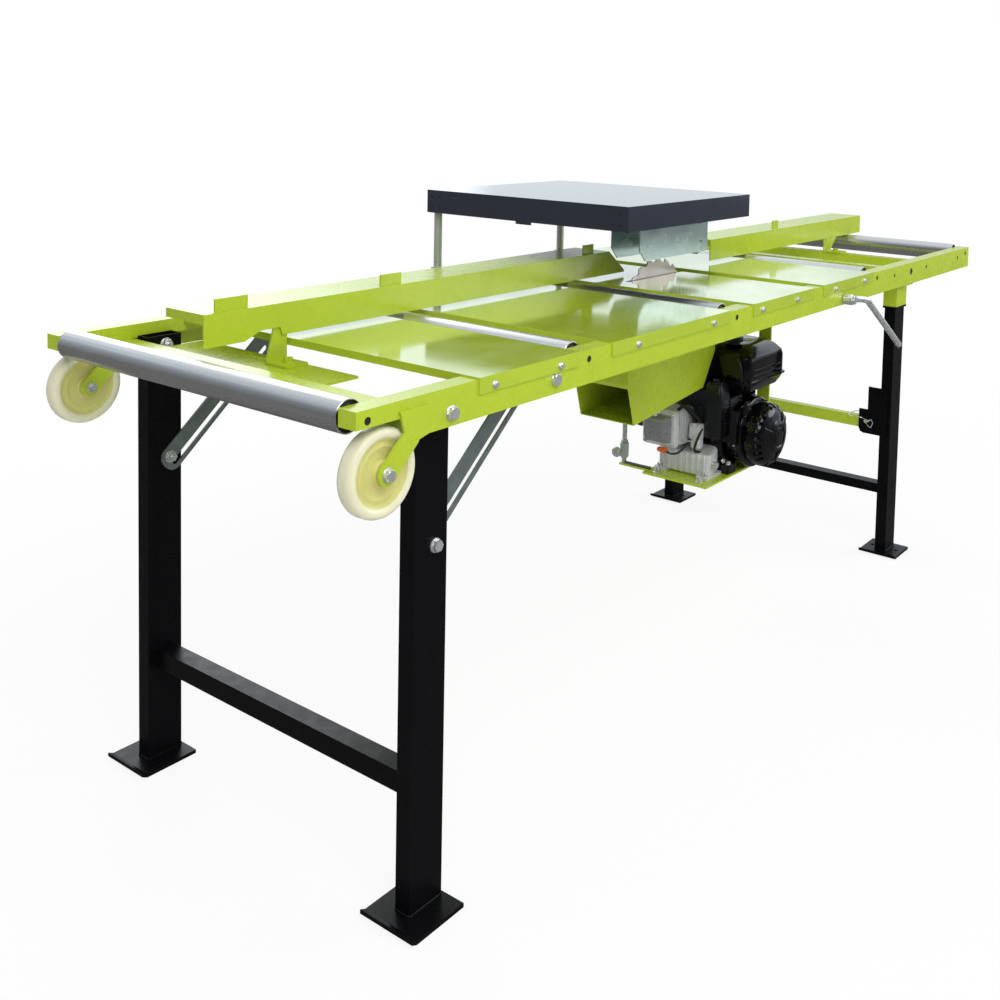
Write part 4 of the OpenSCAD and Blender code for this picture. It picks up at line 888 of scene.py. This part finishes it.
class EDGER_OT_guard(bpy.types.Operator):
    """Build the hood's rim, screws and tab and the guard plates' bolts"""
    bl_idname = "edger.guard"
    bl_label = "Guard details"

    def execute(self, context):
        (x0, y0, z0), (x1, y1, _) = table_box("hood")
        shape = Shape(hood_black())
        # Folded rim inside the lower edge
        rim, sheet, thick = 14.0, 2.6, 2.0
        for lo, hi in (((x0 + sheet, y0 + sheet, z0), (x1 - sheet, y0 + rim, z0 + thick)),
                       ((x0 + sheet, y0 + rim, z0), (x0 + rim, y1 - rim, z0 + thick)),
                       ((x1 - rim, y0 + rim, z0), (x1 - sheet, y1 - rim, z0 + thick))):
            shape.block(lo, hi)
        # Tab that hangs under the feed side
        shape.block((x0 + 0.4, y0 + 300.0, z0 - 7.0), (x0 + 3.0, y0 + 350.0, z0 + 8.0))
        shape.piece("hood_rim", "guard", bevel=0.4)

        shape = Shape(seal_screw_and_shade_black())
        head = [(-1.6, 1.0), (-1.4, 3.2), (-0.2, 4.0), (0.6, 4.0)]
        for y in (y1 - 18.0, y1 - 46.0, y0 + 24.0):
            for z in (z0 + 16.0, z0 + 44.0):
                shape.lathe(head, (x0, y, z), axis="x", steps=20)
        shape.piece("hood_screws", "guard")

        (_, near, _), (_, far, _) = table_box("guard_plates")
        shape = Shape(dark_steel())
        spacers, spacer_height, inset = (1397.0, 1668.0), z0 - 22.0, 6.0
        for x in spacers:
            for y, out in ((near + inset, -1), (far - inset, 1)):
                shape.bolt((x, y, spacer_height), out, 13.0, 5.4, washer=10.0)
        shape.piece("guard_plate_bolts", "guard")
        return {"FINISHED"}


class EDGER_OT_table_details(bpy.types.Operator):
    """Build the black discs of painted shade in the rails' open holes, the feet's weld beads and the tie
    bar's lock pins
    """
    bl_idname = "edger.table_details"
    # The first step sets black discs of painted shade in the rails' holes
    bl_label = "Hole shade, welds and lock pins"

    def execute(self, context):
        for name, side, inward in (("near", 0.0, 1), ("far", TABLE_WIDTH, -1)):
            self.foot_welds(name, side, inward)
            self.lock_pin(name, side, inward)
            self.hole_shade_discs(name, side, inward)
        return {"FINISHED"}

    def hole_shade_discs(self, name, side, inward):
        """Black discs of painted shade sunk in the rail's open holes, in place of the dark inside of the tube
        """
        # Painted shade: black discs set in the open holes, where the inside of the rail is only in shade
        shape = Shape(seal_screw_and_shade_black())
        # Place along the rail, height and radius: at the rollers, along the rear end and over the rear legs
        holes = [(x, 926.0, 6.9) for x in (25, 614, 1216, 2083, 2893)]
        holes += [(x, 918.0, 5.9) for x in (2223, 2503, 2811)]
        holes.append((2365, 916.0, 10.9))
        for x, z, radius in holes:
            profile = [(1.6, 0.5), (1.6, radius - 1.4), (0.7, radius), (3.2, radius), (3.4, radius + 1.4),
                       (4.0, radius + 1.4), (4.0, 0.5)]
            profile = [(inward * depth, r) for depth, r in profile][::inward]
            shape.lathe(profile, (x, side, z), steps=32)
        shape.piece(name + "_rail_hole_shade", "frame")

    def foot_welds(self, name, side, inward):
        """A bead round each leg of one side, on its foot plate"""
        for legs in ("front", "rear"):
            brace = legs + "_leg_brace"
            half, inner = LEG_WIDTH[legs] / 2, table_box(brace)[0][1]
            corners = [(middle(brace)[0] + u * half, side + inward * y, FOOT_TOP + 1.0)
                       for u, y in ((-1, inner - LEG_DEPTH), (1, inner - LEG_DEPTH), (1, inner), (-1, inner))]
            shape = Shape(powder_black())
            for a, b in zip(corners, corners[1:] + corners[:1]):
                shape.bead(a, b)
            shape.piece(name + "_" + legs + "_foot_welds", legs + "_legs")

    def lock_pin(self, name, side, inward):
        """The pin's head with its wire bail and the bail's bent tail"""
        depth, height = 104.0, 426.0
        x, y, z = table_box("tie_bar")[0][0], side + inward * depth, height
        shape = Shape(zinc_bright())
        shape.lathe([(0.0, 3.0), (1.4, 6.2), (4.6, 6.6), (6.0, 5.0)], (x, y, z), axis="x", steps=24)
        bail = ((3, 0, 5), (-6, 14, 12), (-7, 40, 13), (4, 58, 10), (26, 56, 16), (46, 36, 18), (49, 8, 6))
        tail = ((2, 0, -4), (-5, -10, 2), (-6, -22, 10), (-4, -26, -2), (-4, -18, -16), (1, -2, -6))
        for route in (bail, tail):
            shape.tube([(x + dx, y + inward * dy, z + dz) for dx, dy, dz in route], 1.3, steps=8, turns=5)
        shape.piece(name + "_lock_pin", "rear_legs")


class EDGER_OT_lever(bpy.types.Operator):
    """Build the bent hand lever that tightens the belt"""
    bl_idname = "edger.lever"
    bl_label = "Belt lever"

    def execute(self, context):
        x, z = LEVER_PIVOT
        hub, out = -25.0, -43.0
        shape = Shape(zinc_bright())
        shape.lathe([(0.0, 13.8), (1.0, 15.0), (23.0, 15.0), (24.0, 13.8), (24.0, 10.5)], (x, hub, z),
                    steps=40)
        shape.bolt((x, hub, z), -1, 24.0, 8.0, washer=14.0)
        shape.tube([(x + 4.0, -17.0, z), (x + 22.0, -28.0, z), (x + 48.0, -39.0, z - 3.0),
                    (x + 70.0, out, z - 10.0), (x + 92.0, out, z - 24.0), (x + 200.0, out, z - 94.0),
                    (x + 327.0, out, z - 176.0)], 9.0, steps=24, turns=6)
        shape.piece("belt_lever", "lever", replaces=("tension_lever",))
        return {"FINISHED"}


class EDGER_OT_engine_cooling(bpy.types.Operator):
    """Build the recoil cover and the screen of the fan"""
    bl_idname = "edger.engine_cooling"
    bl_label = "Recoil cover and fan screen"

    def execute(self, context):
        x, z = CRANK
        front = table_box("recoil_cover")[0][1]
        centre = (x, front, z)
        shape = Shape(enamel_black())
        # Depth behind the front and radius
        profile = [(4.0, 14.0), (3.0, 30.0), (0.0, 33.0), (0.4, 38.0), (6.0, 46.0), (9.0, 56.0), (13.0, 70.0),
                   (19.0, 80.0), (27.0, 87.0), (40.0, 91.5), (56.0, 92.0), (72.0, 92.0)]

        def slots(i, k):
            return i in (7, 8) and k % 4 in (0, 1) and k % 32 > 3

        shape.slotted_dish(profile, centre, 3.0, 96, slots)
        # Plain raised seat in the middle
        shape.lathe([(0.2, 0.5), (0.2, 24.0), (1.2, 26.0), (4.6, 27.0), (4.6, 0.5)], centre)
        for degrees in (35, 155, 275):
            self.rib(shape, centre, math.radians(degrees))
        screw_circle = 86.0
        for degrees in (45, 135, 225, 315):
            a = math.radians(degrees)
            place = (x + screw_circle * math.cos(a), front + 66.0, z + screw_circle * math.sin(a))
            shape.bolt(place, -1, 8.0, 3.4)
        shape.piece("recoil_shell", "frame", replaces=("recoil_cover",), bevel=0.4)

        # Rotating screen seen through the slots
        shape = Shape(cast_dark())
        shape.lathe([(0.0, 6.0), (0.0, 82.0), (3.0, 84.0), (6.0, 84.0), (6.0, 6.0)], (x, front + 34.0, z))
        vane = ((40, -1.2), (80, -1.2), (80, 1.2), (40, 1.2))
        vanes = 18
        for k in range(vanes):
            a = 2 * math.pi * k / vanes
            c, s = math.cos(a), math.sin(a)
            shape.rings([[(x + r * c - t * s, y, z + r * s + t * c) for r, t in vane]
                         for y in (front + 26.0, front + 35.0)])
        shape.piece("fan_screen", "crank")
        return {"FINISHED"}

    def rib(self, shape, centre, angle):
        """A rib pressed into the cover's face, wider and deeper outwards"""
        x, front, z = centre
        u, w = math.cos(angle), math.sin(angle)
        rings = []
        for r, half, lift in ((40, 4.0, 1.5), (58, 5.0, 6.0), (76, 6.5, 12.5)):
            cx, cz = x + r * u, z + r * w
            rings.append([(cx - w * t, front + lift + foot, cz + u * t)
                          for t, foot in ((half, 3.0), (half * 0.5, 0.0), (-half * 0.5, 0.0), (-half, 3.0))])
        shape.rings(rings)


class EDGER_OT_crankcase(bpy.types.Operator):
    """Build the crankcase, its base and the fan housing behind the recoil cover"""
    bl_idname = "edger.crankcase"
    bl_label = "Crankcase"

    def execute(self, context):
        x, z = CRANK
        shape = Shape(enamel_black())
        shape.lathe([(0.0, 84.0), (0.0, 97.0), (3.0, 102.0), (8.0, 103.0), (14.0, 103.0), (15.0, 101.0),
                     (46.0, 101.0), (50.0, 97.0), (56.0, 90.0), (56.0, 20.0), (6.0, 20.0), (6.0, 84.0)],
                    (x, ENGINE_FRONT, z), steps=96, loop=True)
        # Air duct from the fan to the barrel
        duct = ((-96, 40), (-40, 98), (-60, 100), (-122, 84), (-122, -10), (-96, -20))
        shape.rings([[(x + dx, ENGINE_FRONT + y, z + dz) for dx, dz in duct] for y in (4.0, 54.0)])
        boss_circle = 98.0
        for degrees in (40, 140, 220, 320):
            a = math.radians(degrees)
            place = (x + boss_circle * math.cos(a), ENGINE_FRONT + 8.0, z + boss_circle * math.sin(a))
            shape.lathe([(0.0, 5.0), (2.0, 7.0), (40.0, 7.0), (44.0, 5.0)], place, steps=20)
        shape.piece("fan_housing", "frame", replaces=("engine_block",), bevel=1.0)
        self.case()
        self.sump()
        self.lug()
        return {"FINISHED"}

    def case(self):
        """Upright case with cast ribs, on its base"""
        shape = Shape(enamel_black())
        shape.stack([(1684, 294, 1936, 498, 12, 380), (1680, 292, 1940, 500, 16, 386),
                     (1680, 292, 1940, 500, 20, 470), (1688, 294, 1934, 498, 24, 536),
                     (1700, 300, 1924, 492, 26, 558)])
        for z in range(410, 511, 20):
            shape.pad((1677, 296, 1680.5, 420), 1.5, (z, z + 5), steps=2)
        shape.stack([(1670, 306, 1905, 474, 8, ENGINE_BASE), (1670, 306, 1905, 474, 10, ENGINE_BASE + 10),
                     (1676, 312, 1899, 468, 12, ENGINE_BASE + 17)])
        shape.piece("crankcase", "frame", bevel=1.2)

    def sump(self):
        """Bare alloy sump with ribs that stands out on the feed side, on two bolted feet"""
        shape = Shape(alloy_cast(), zinc_bright())
        shape.stack([(300, 372, 452, 424, 10, 1618), (292, 367, 460, 432, 12, 1624),
                     (292, 367, 460, 436, 12, 1650), (298, 367, 454, 446, 14, 1679)], axis="x")
        for y in range(304, 438, 19):
            shape.stack([(y, 372, y + 5, 428, 2, 1613.5), (y, 369, y + 5, 434, 2, 1620)], axis="x", steps=2)
        foot_top = ENGINE_BASE + 8
        for y, bolt_y in ((286, 300), (426, 452)):
            shape.pad((1600, y, 1690, y + 40), 8, (ENGINE_BASE, foot_top))
            shape.bolt((1614, bolt_y, foot_top), 1, 14.0, 7.0, axis="z", washer=10.0, finish=1)
        # Drain plug
        shape.lathe([(0.0, 9.0), (3.0, 10.0), (14.0, 9.0), (16.0, 6.0)], (1640, 276.0, 404.0), steps=24,
                    finish=1)
        shape.piece("sump", "frame", bevel=0.8)

    def lug(self):
        """Near foot of the case with its bolt and the oil plug"""
        shape = Shape(enamel_black(), zinc_bright())
        lug_top = ENGINE_BASE + 26
        shape.pad((1690, 268, 1740, 300), 6, (ENGINE_BASE, lug_top))
        shape.bolt((1706, 277, lug_top), 1, 14.0, 7.0, axis="z", washer=9.0, finish=1)
        shape.bolt((1688, 286, 405.0), -1, 12.0, 6.0, finish=1)
        shape.piece("base_lug", "frame", bevel=0.8)


class EDGER_OT_cylinder(bpy.types.Operator):
    """Build the finned barrel, the valve cover, the plug cap and its lead"""
    bl_idname = "edger.cylinder"
    bl_label = "Cylinder and valve cover"

    def execute(self, context):
        (head_face, _, _), (case_face, _, _) = table_box("cylinder_head")
        shape = Shape(alloy_cast())
        shape.pad((384, 464, 476, 542), 12, (head_face + 2, case_face), axis="x")
        # Fins that stand out most in the middle of the barrel
        fins, pitch, thick = 11, 8.8, 2.6
        for k in range(fins):
            x = head_face + 9.0 + k * pitch
            grow = 3.0 * math.sin(math.pi * k / (fins - 1))
            shape.pad(inset((374, 454, 486, 552), -grow), 10, (x, x + thick), axis="x", steps=4)
        shape.pad((372, 448, 488, 555), 12, (head_face, head_face + 8), axis="x")
        shape.piece("finned_barrel", "frame", replaces=("cylinder_head",), bevel=0.5)

        # Flange of the valve cover with its dark bulge, corner screws and breather pipe
        shape = Shape(alloy_cast(), zinc_bright(), alloy_dark())
        flange, flange_face = (378, 452, 482, 551), 1567.5
        shape.stack([(*flange, 14, head_face), (*flange, 14, flange_face + 1),
                     (*inset(flange, 4), 14, flange_face)], axis="x")
        shape.stack([(388, 461, 472, 542, 12, 1568), (390, 464, 470, 540, 14, 1552),
                     (398, 474, 462, 533, 14, 1537), (404, 480, 456, 527, 12, 1534)], axis="x", finish=2)
        for z in (459, 544):
            for y in (385, 475):
                shape.bolt((flange_face, y, z), -1, 9.0, 4.5, axis="x", washer=6.5, finish=1)
        shape.tube([(1548, 430, 540), (1546, 430, 550), (1540, 424, 556), (1532, 410, 558)], 5.0)
        shape.piece("valve_cover_casting", "frame", replaces=("valve_cover",), bevel=1.0)

        shape = Shape(plug_orange(), hose_black())
        shape.lathe([(0.0, 5.0), (1.0, 8.6), (10.0, 9.4), (12.0, 8.0), (26.0, 7.4), (30.0, 4.0)],
                    (1560, 398.0, 442.0), steps=24)
        shape.tube([(1562, 400, 440), (1566, 388, 434), (1580, 372, 436), (1606, 362, 452), (1632, 362, 470),
                    (1660, 350, 478)], 3.2, steps=10, finish=1)
        shape.piece("plug_cap_and_lead", "frame")
        return {"FINISHED"}


class EDGER_OT_fuel_and_air(bpy.types.Operator):
    """Build the tank, its cap, the air filter box, the hoses, the carburettor and the starter's grip"""
    bl_idname = "edger.fuel_and_air"
    bl_label = "Tank, filter and hoses"

    def execute(self, context):
        self.tank()
        self.fuel_cap()
        self.filter_box()
        self.filter_knob()
        self.hoses()
        self.carburettor()
        self.grip()
        return {"FINISHED"}

    def tank(self):
        """Pressed tank with its seam, on two straps"""
        (x0, y0, strap_foot), (x1, y1, _) = table_box("fuel_tank")
        seam = (x0, y0, x1, y1)
        # How far each level lies inside the seam, its corners' radius and its height
        levels = ((34, 20, 598), (20, 26, 603), (9, 28, 622), (6, 28, 632), (0, 30, 633), (0, 30, 637),
                  (6, 28, 638), (6, 28, 690), (9, 28, 704), (24, 30, 722))
        crown = [(1744, 256, 1909, 396, 30, 732), (1770, 276, 1886, 376, 26, TANK_TOP)]
        shape = Shape(enamel_black())
        shape.stack([(*inset(seam, by), corner, z) for by, corner, z in levels] + crown, steps=8)
        # Ribs pressed along the near face
        for z in (648, 664):
            shape.pad((1740, 219.4, 1914, 222.5), 1.4, (z, z + 5), steps=3)
        for x in (1818, 1895):
            shape.block((x, 302, strap_foot), (x + 16, 420, 600))
        shape.piece("fuel_tank_shell", "frame", replaces=("fuel_tank",), crease=24.0)

    def fuel_cap(self):
        """Knurled cap with a bar across it"""
        x, y, _ = middle("fuel_cap")
        shape = Shape(plastic_black())
        # Height, radius and depth of the knurls
        levels = ((0.0, 20.0, 0.0), (8.0, 20.0, 0.0), (8.4, 27.4, 0.0), (10.0, 28.4, 0.5), (19.0, 28.4, 0.5),
                  (21.4, 26.6, 0.2), (22.0, 18.0, 0.0), (20.6, 16.0, 0.0))
        shape.rings([ring((x, y, TANK_TOP), "z", h, r, 144, lobes=18, depth=wave) for h, r, wave in levels])
        shape.block((x - 16, y - 3.5, TANK_TOP + 20.4), (x + 16, y + 3.5, TANK_TOP + 22.0))
        shape.piece("fuel_cap_knurled", "cap", replaces=("fuel_cap",), crease=50.0)

    def filter_box(self):
        """Housing of the air filter, with the arm towards the tank and the part over the carburettor"""
        shape = Shape(plastic_black())
        shape.stack([(1646, 278, 1697, 326, 8, 476), (1642, 274, 1700, 327, 10, 484),
                     (1641, 273, 1701, 327, 10, 590), (1645, 277, 1701, 327, 10, 626),
                     (1650, 282, 1697, 323, 9, FILTER_TOP)])
        # Arm towards the tank
        shape.stack([(1699, 274, 1774, 368, 8, 560), (1699, 273, 1775, 369, 8, 582),
                     (1703, 277, 1771, 365, 7, 588)])
        # Part behind the housing that reaches over the carburettor, with its lid
        shape.pad((1650, 322, 1700, 366), 8, (480, 570))
        shape.stack([(1646, 318, 1700, 416, 8, 564), (1641, 314, 1701, 420, 10, 570),
                     (1641, 314, 1701, 420, 10, 612), (1645, 316, 1701, 416, 8, 615)])
        shape.stack([(1658, 318, 1701, 420, 8, 612), (1658, 318, 1701, 420, 8, 627),
                     (1662, 320, 1697, 416, 8, FILTER_TOP)])
        # Louvres on the near face
        for z in range(520, 576, 11):
            shape.pad((1664, 270.2, 1698, 274.5), 1.6, (z, z + 4), steps=3)
        # Lid seam
        shape.pad((1639.6, 271.8, 1701, 327.5), 10, (586, 589))
        shape.piece("air_filter_shell", "frame", replaces=("air_filter_box",), bevel=0.8)

    def filter_knob(self):
        """Six-lobed knob on the filter's lid"""
        centre = (1670.5, 303.0, FILTER_TOP)
        shape = Shape(plastic_black())
        shape.lathe([(0.0, 22.0), (2.0, 23.0), (4.5, 22.0), (4.5, 14.0), (3.0, 12.0), (3.0, 1.0)], centre,
                    axis="z", steps=48)
        shape.rings([ring(centre, "z", h, r, 60, lobes=6, depth=0.7)
                     for h, r in ((3.0, 9.0), (4.0, 10.0), (11.0, 9.0), (KNOB_HEIGHT, 7.4))])
        shape.piece("filter_knob", "frame", crease=50.0)

    def hoses(self):
        """Hoses of the tank, the breather, the carburettor and the drain, in that order"""
        shape = Shape(hose_black())
        shape.tube([(1700, 262, 700), (1690, 250, 706), (1684, 238, 694), (1685, 232, 664), (1692, 236, 644),
                    (1706, 250, 640)], 3.4, steps=10, turns=6)
        shape.tube([(1600, 386, 556), (1596, 366, 570), (1608, 352, 560), (1630, 342, 536), (1644, 334, 516)],
                   5.2, turns=6)
        shape.tube([(1566, 440, 552), (1580, 430, 572), (1606, 400, 576), (1628, 372, 552), (1640, 352, 520),
                    (1646, 344, 492)], 4.4, turns=6)
        shape.tube([(1640, 330, 500), (1618, 326, 486), (1606, 330, 462), (1614, 336, 440), (1640, 330, 432)],
                   3.6, steps=10, turns=6)
        shape.piece("engine_hoses", "frame")

    def carburettor(self):
        """Air horn, flange and float bowl, with two screws and the governor's wire"""
        shape = Shape(alloy_cast(), zinc_bright())
        shape.lathe([(0.0, 12.0), (2.0, 15.0), (26.0, 15.0), (28.0, 12.0)], (1652, 336.0, 498.0), steps=28)
        shape.pad((328, 470, 362, 516), 6, (1624, 1648), axis="x")
        shape.stack([(1630, 334, 1650, 356, 4, 440), (1626, 330, 1654, 360, 6, 446),
                     (1626, 330, 1654, 360, 6, 470)])
        for y in (334, 356):
            shape.bolt((1624, y, 512), -1, 7.0, 3.0, axis="x", finish=1)
        shape.tube([(1622, 345, 480), (1610, 345, 470), (1600, 356, 470), (1596, 372, 476)], 1.6, steps=8,
                   finish=1)
        shape.piece("carburettor", "frame", bevel=0.5)

    def grip(self):
        """Grip of the starter's rope and the small round knob below it"""
        shape = Shape(enamel_black(), zinc_bright())
        shape.tube([(1716, 232, 540), (1712, 224, 548), (1704, 222, 562)], 2.0, steps=8, finish=1)
        shape.pad((214, 548, 228, 582), 6, (1694, 1716), axis="x")
        knob = (1706, 262.0, 452.0)
        shape.lathe([(0.0, 8.0), (1.0, 10.0), (4.0, 10.0), (8.0, 6.0)], knob, steps=28)
        shape.lathe([(-6.0, 4.0), (-5.0, 5.5), (0.0, 5.5)], knob, steps=20, finish=1)
        shape.piece("recoil_grip", "frame", bevel=0.8)


class EDGER_OT_platform(bpy.types.Operator):
    """Build the bolts on the engine platform and the collars and thumb screw of its hanging rod"""
    bl_idname = "edger.platform"
    bl_label = "Platform details"

    def execute(self, context):
        top = ENGINE_BASE
        shape = Shape(zinc_bright())
        for y in (300.0, 440.0):
            shape.bolt((1580.0, y, top), 1, 15.0, 8.0, axis="z", washer=11.0)
            shape.lathe([(0.0, 4.0), (5.0, 4.0), (6.0, 3.2)], (1580.0, y, top + 9.0), axis="z", steps=20)
        shape.piece("platform_bolts", "frame")

        shape = Shape(post_zinc(), dark_steel())
        x, y = 1590.0, 562.0
        # Rod and the sleeve round its foot, with an arm along the platform
        for profile, start, steps in (([(0.0, 6.2), (0.6, 6.8), (504.0, 6.8), (505.0, 6.2)], 1.0, 32),
                                      ([(0.0, 11.0), (1.0, 12.8), (41.0, 12.8), (42.0, 11.0)], 20.0, 36)):
            shape.lathe(profile, (x, y, top + start), axis="z", steps=steps)
        shape.tube([(x - 6.0, y - 8.0, top + 5.0), (x - 4.0, y - 60.0, top + 4.0),
                    (x - 2.0, y - 96.0, top + 4.0)], 4.2, finish=1)
        for z in (top + 16.0, top + 64.0):
            shape.lathe([(0.0, 9.0), (1.0, 10.6), (5.0, 10.6), (6.0, 9.0)], (x, y, z), axis="z", steps=32)
        # Knurled thumb screw in the lower sleeve
        screw = (x - 46.6, y, top + 42.0)
        shape.lathe([(0.0, 9.0), (0.0, 12.6), (1.2, 13.8), (10.0, 13.8), (11.2, 12.6), (11.2, 5.7),
                     (34.0, 5.7)], screw, axis="x", steps=40)
        shape.rings([ring(screw, "x", along, 14.3, 144, lobes=24, depth=0.5) for along in (1.6, 9.6)])
        shape.piece("rod_collars", "frame")
        return {"FINISHED"}


class EDGER_PT_panel(bpy.types.Panel):
    """Lists the steps that dress the board edger"""
    bl_idname = "EDGER_PT_panel"
    bl_label = "Board Edger"
    bl_space_type = "VIEW_3D"
    bl_region_type = "UI"
    bl_category = "Board Edger"

    def draw(self, context):
        layout = self.layout
        scene = context.scene
        for group in (scene.edger_paint, scene.edger_fasteners, scene.edger_stage):
            box = layout.box()
            for key in group.__annotations__:
                box.prop(group, key)
        for op in STEPS:
            layout.operator(op.bl_idname)


STEPS = (EDGER_OT_frame_finish, EDGER_OT_rollers, EDGER_OT_casters, EDGER_OT_fasteners, EDGER_OT_guard,
         EDGER_OT_table_details, EDGER_OT_lever, EDGER_OT_engine_cooling, EDGER_OT_crankcase,
         EDGER_OT_cylinder, EDGER_OT_fuel_and_air, EDGER_OT_platform, EDGER_OT_stage)
GROUPS = (EDGER_PaintSettings, EDGER_FastenerSettings, EDGER_StageSettings)


def register():
    for cls in GROUPS + STEPS + (EDGER_PT_panel,):
        bpy.utils.register_class(cls)
    bpy.types.Scene.edger_paint = PointerProperty(type=EDGER_PaintSettings)
    bpy.types.Scene.edger_fasteners = PointerProperty(type=EDGER_FastenerSettings)
    bpy.types.Scene.edger_stage = PointerProperty(type=EDGER_StageSettings)


def unregister():
    del bpy.types.Scene.edger_stage
    del bpy.types.Scene.edger_fasteners
    del bpy.types.Scene.edger_paint
    for cls in reversed(GROUPS + STEPS + (EDGER_PT_panel,)):
        bpy.utils.unregister_class(cls)


def main():
    """Dresses the whole table"""
    register()
    bpy.ops.edger.frame_finish()
    bpy.ops.edger.rollers()
    bpy.ops.edger.casters()
    bpy.ops.edger.fasteners()
    bpy.ops.edger.guard()
    bpy.ops.edger.table_details()
    bpy.ops.edger.lever()
    bpy.ops.edger.engine_cooling()
    bpy.ops.edger.crankcase()
    bpy.ops.edger.cylinder()
    bpy.ops.edger.fuel_and_air()
    bpy.ops.edger.platform()
    bpy.ops.edger.stage()


if __name__ == "__main__":
    main()
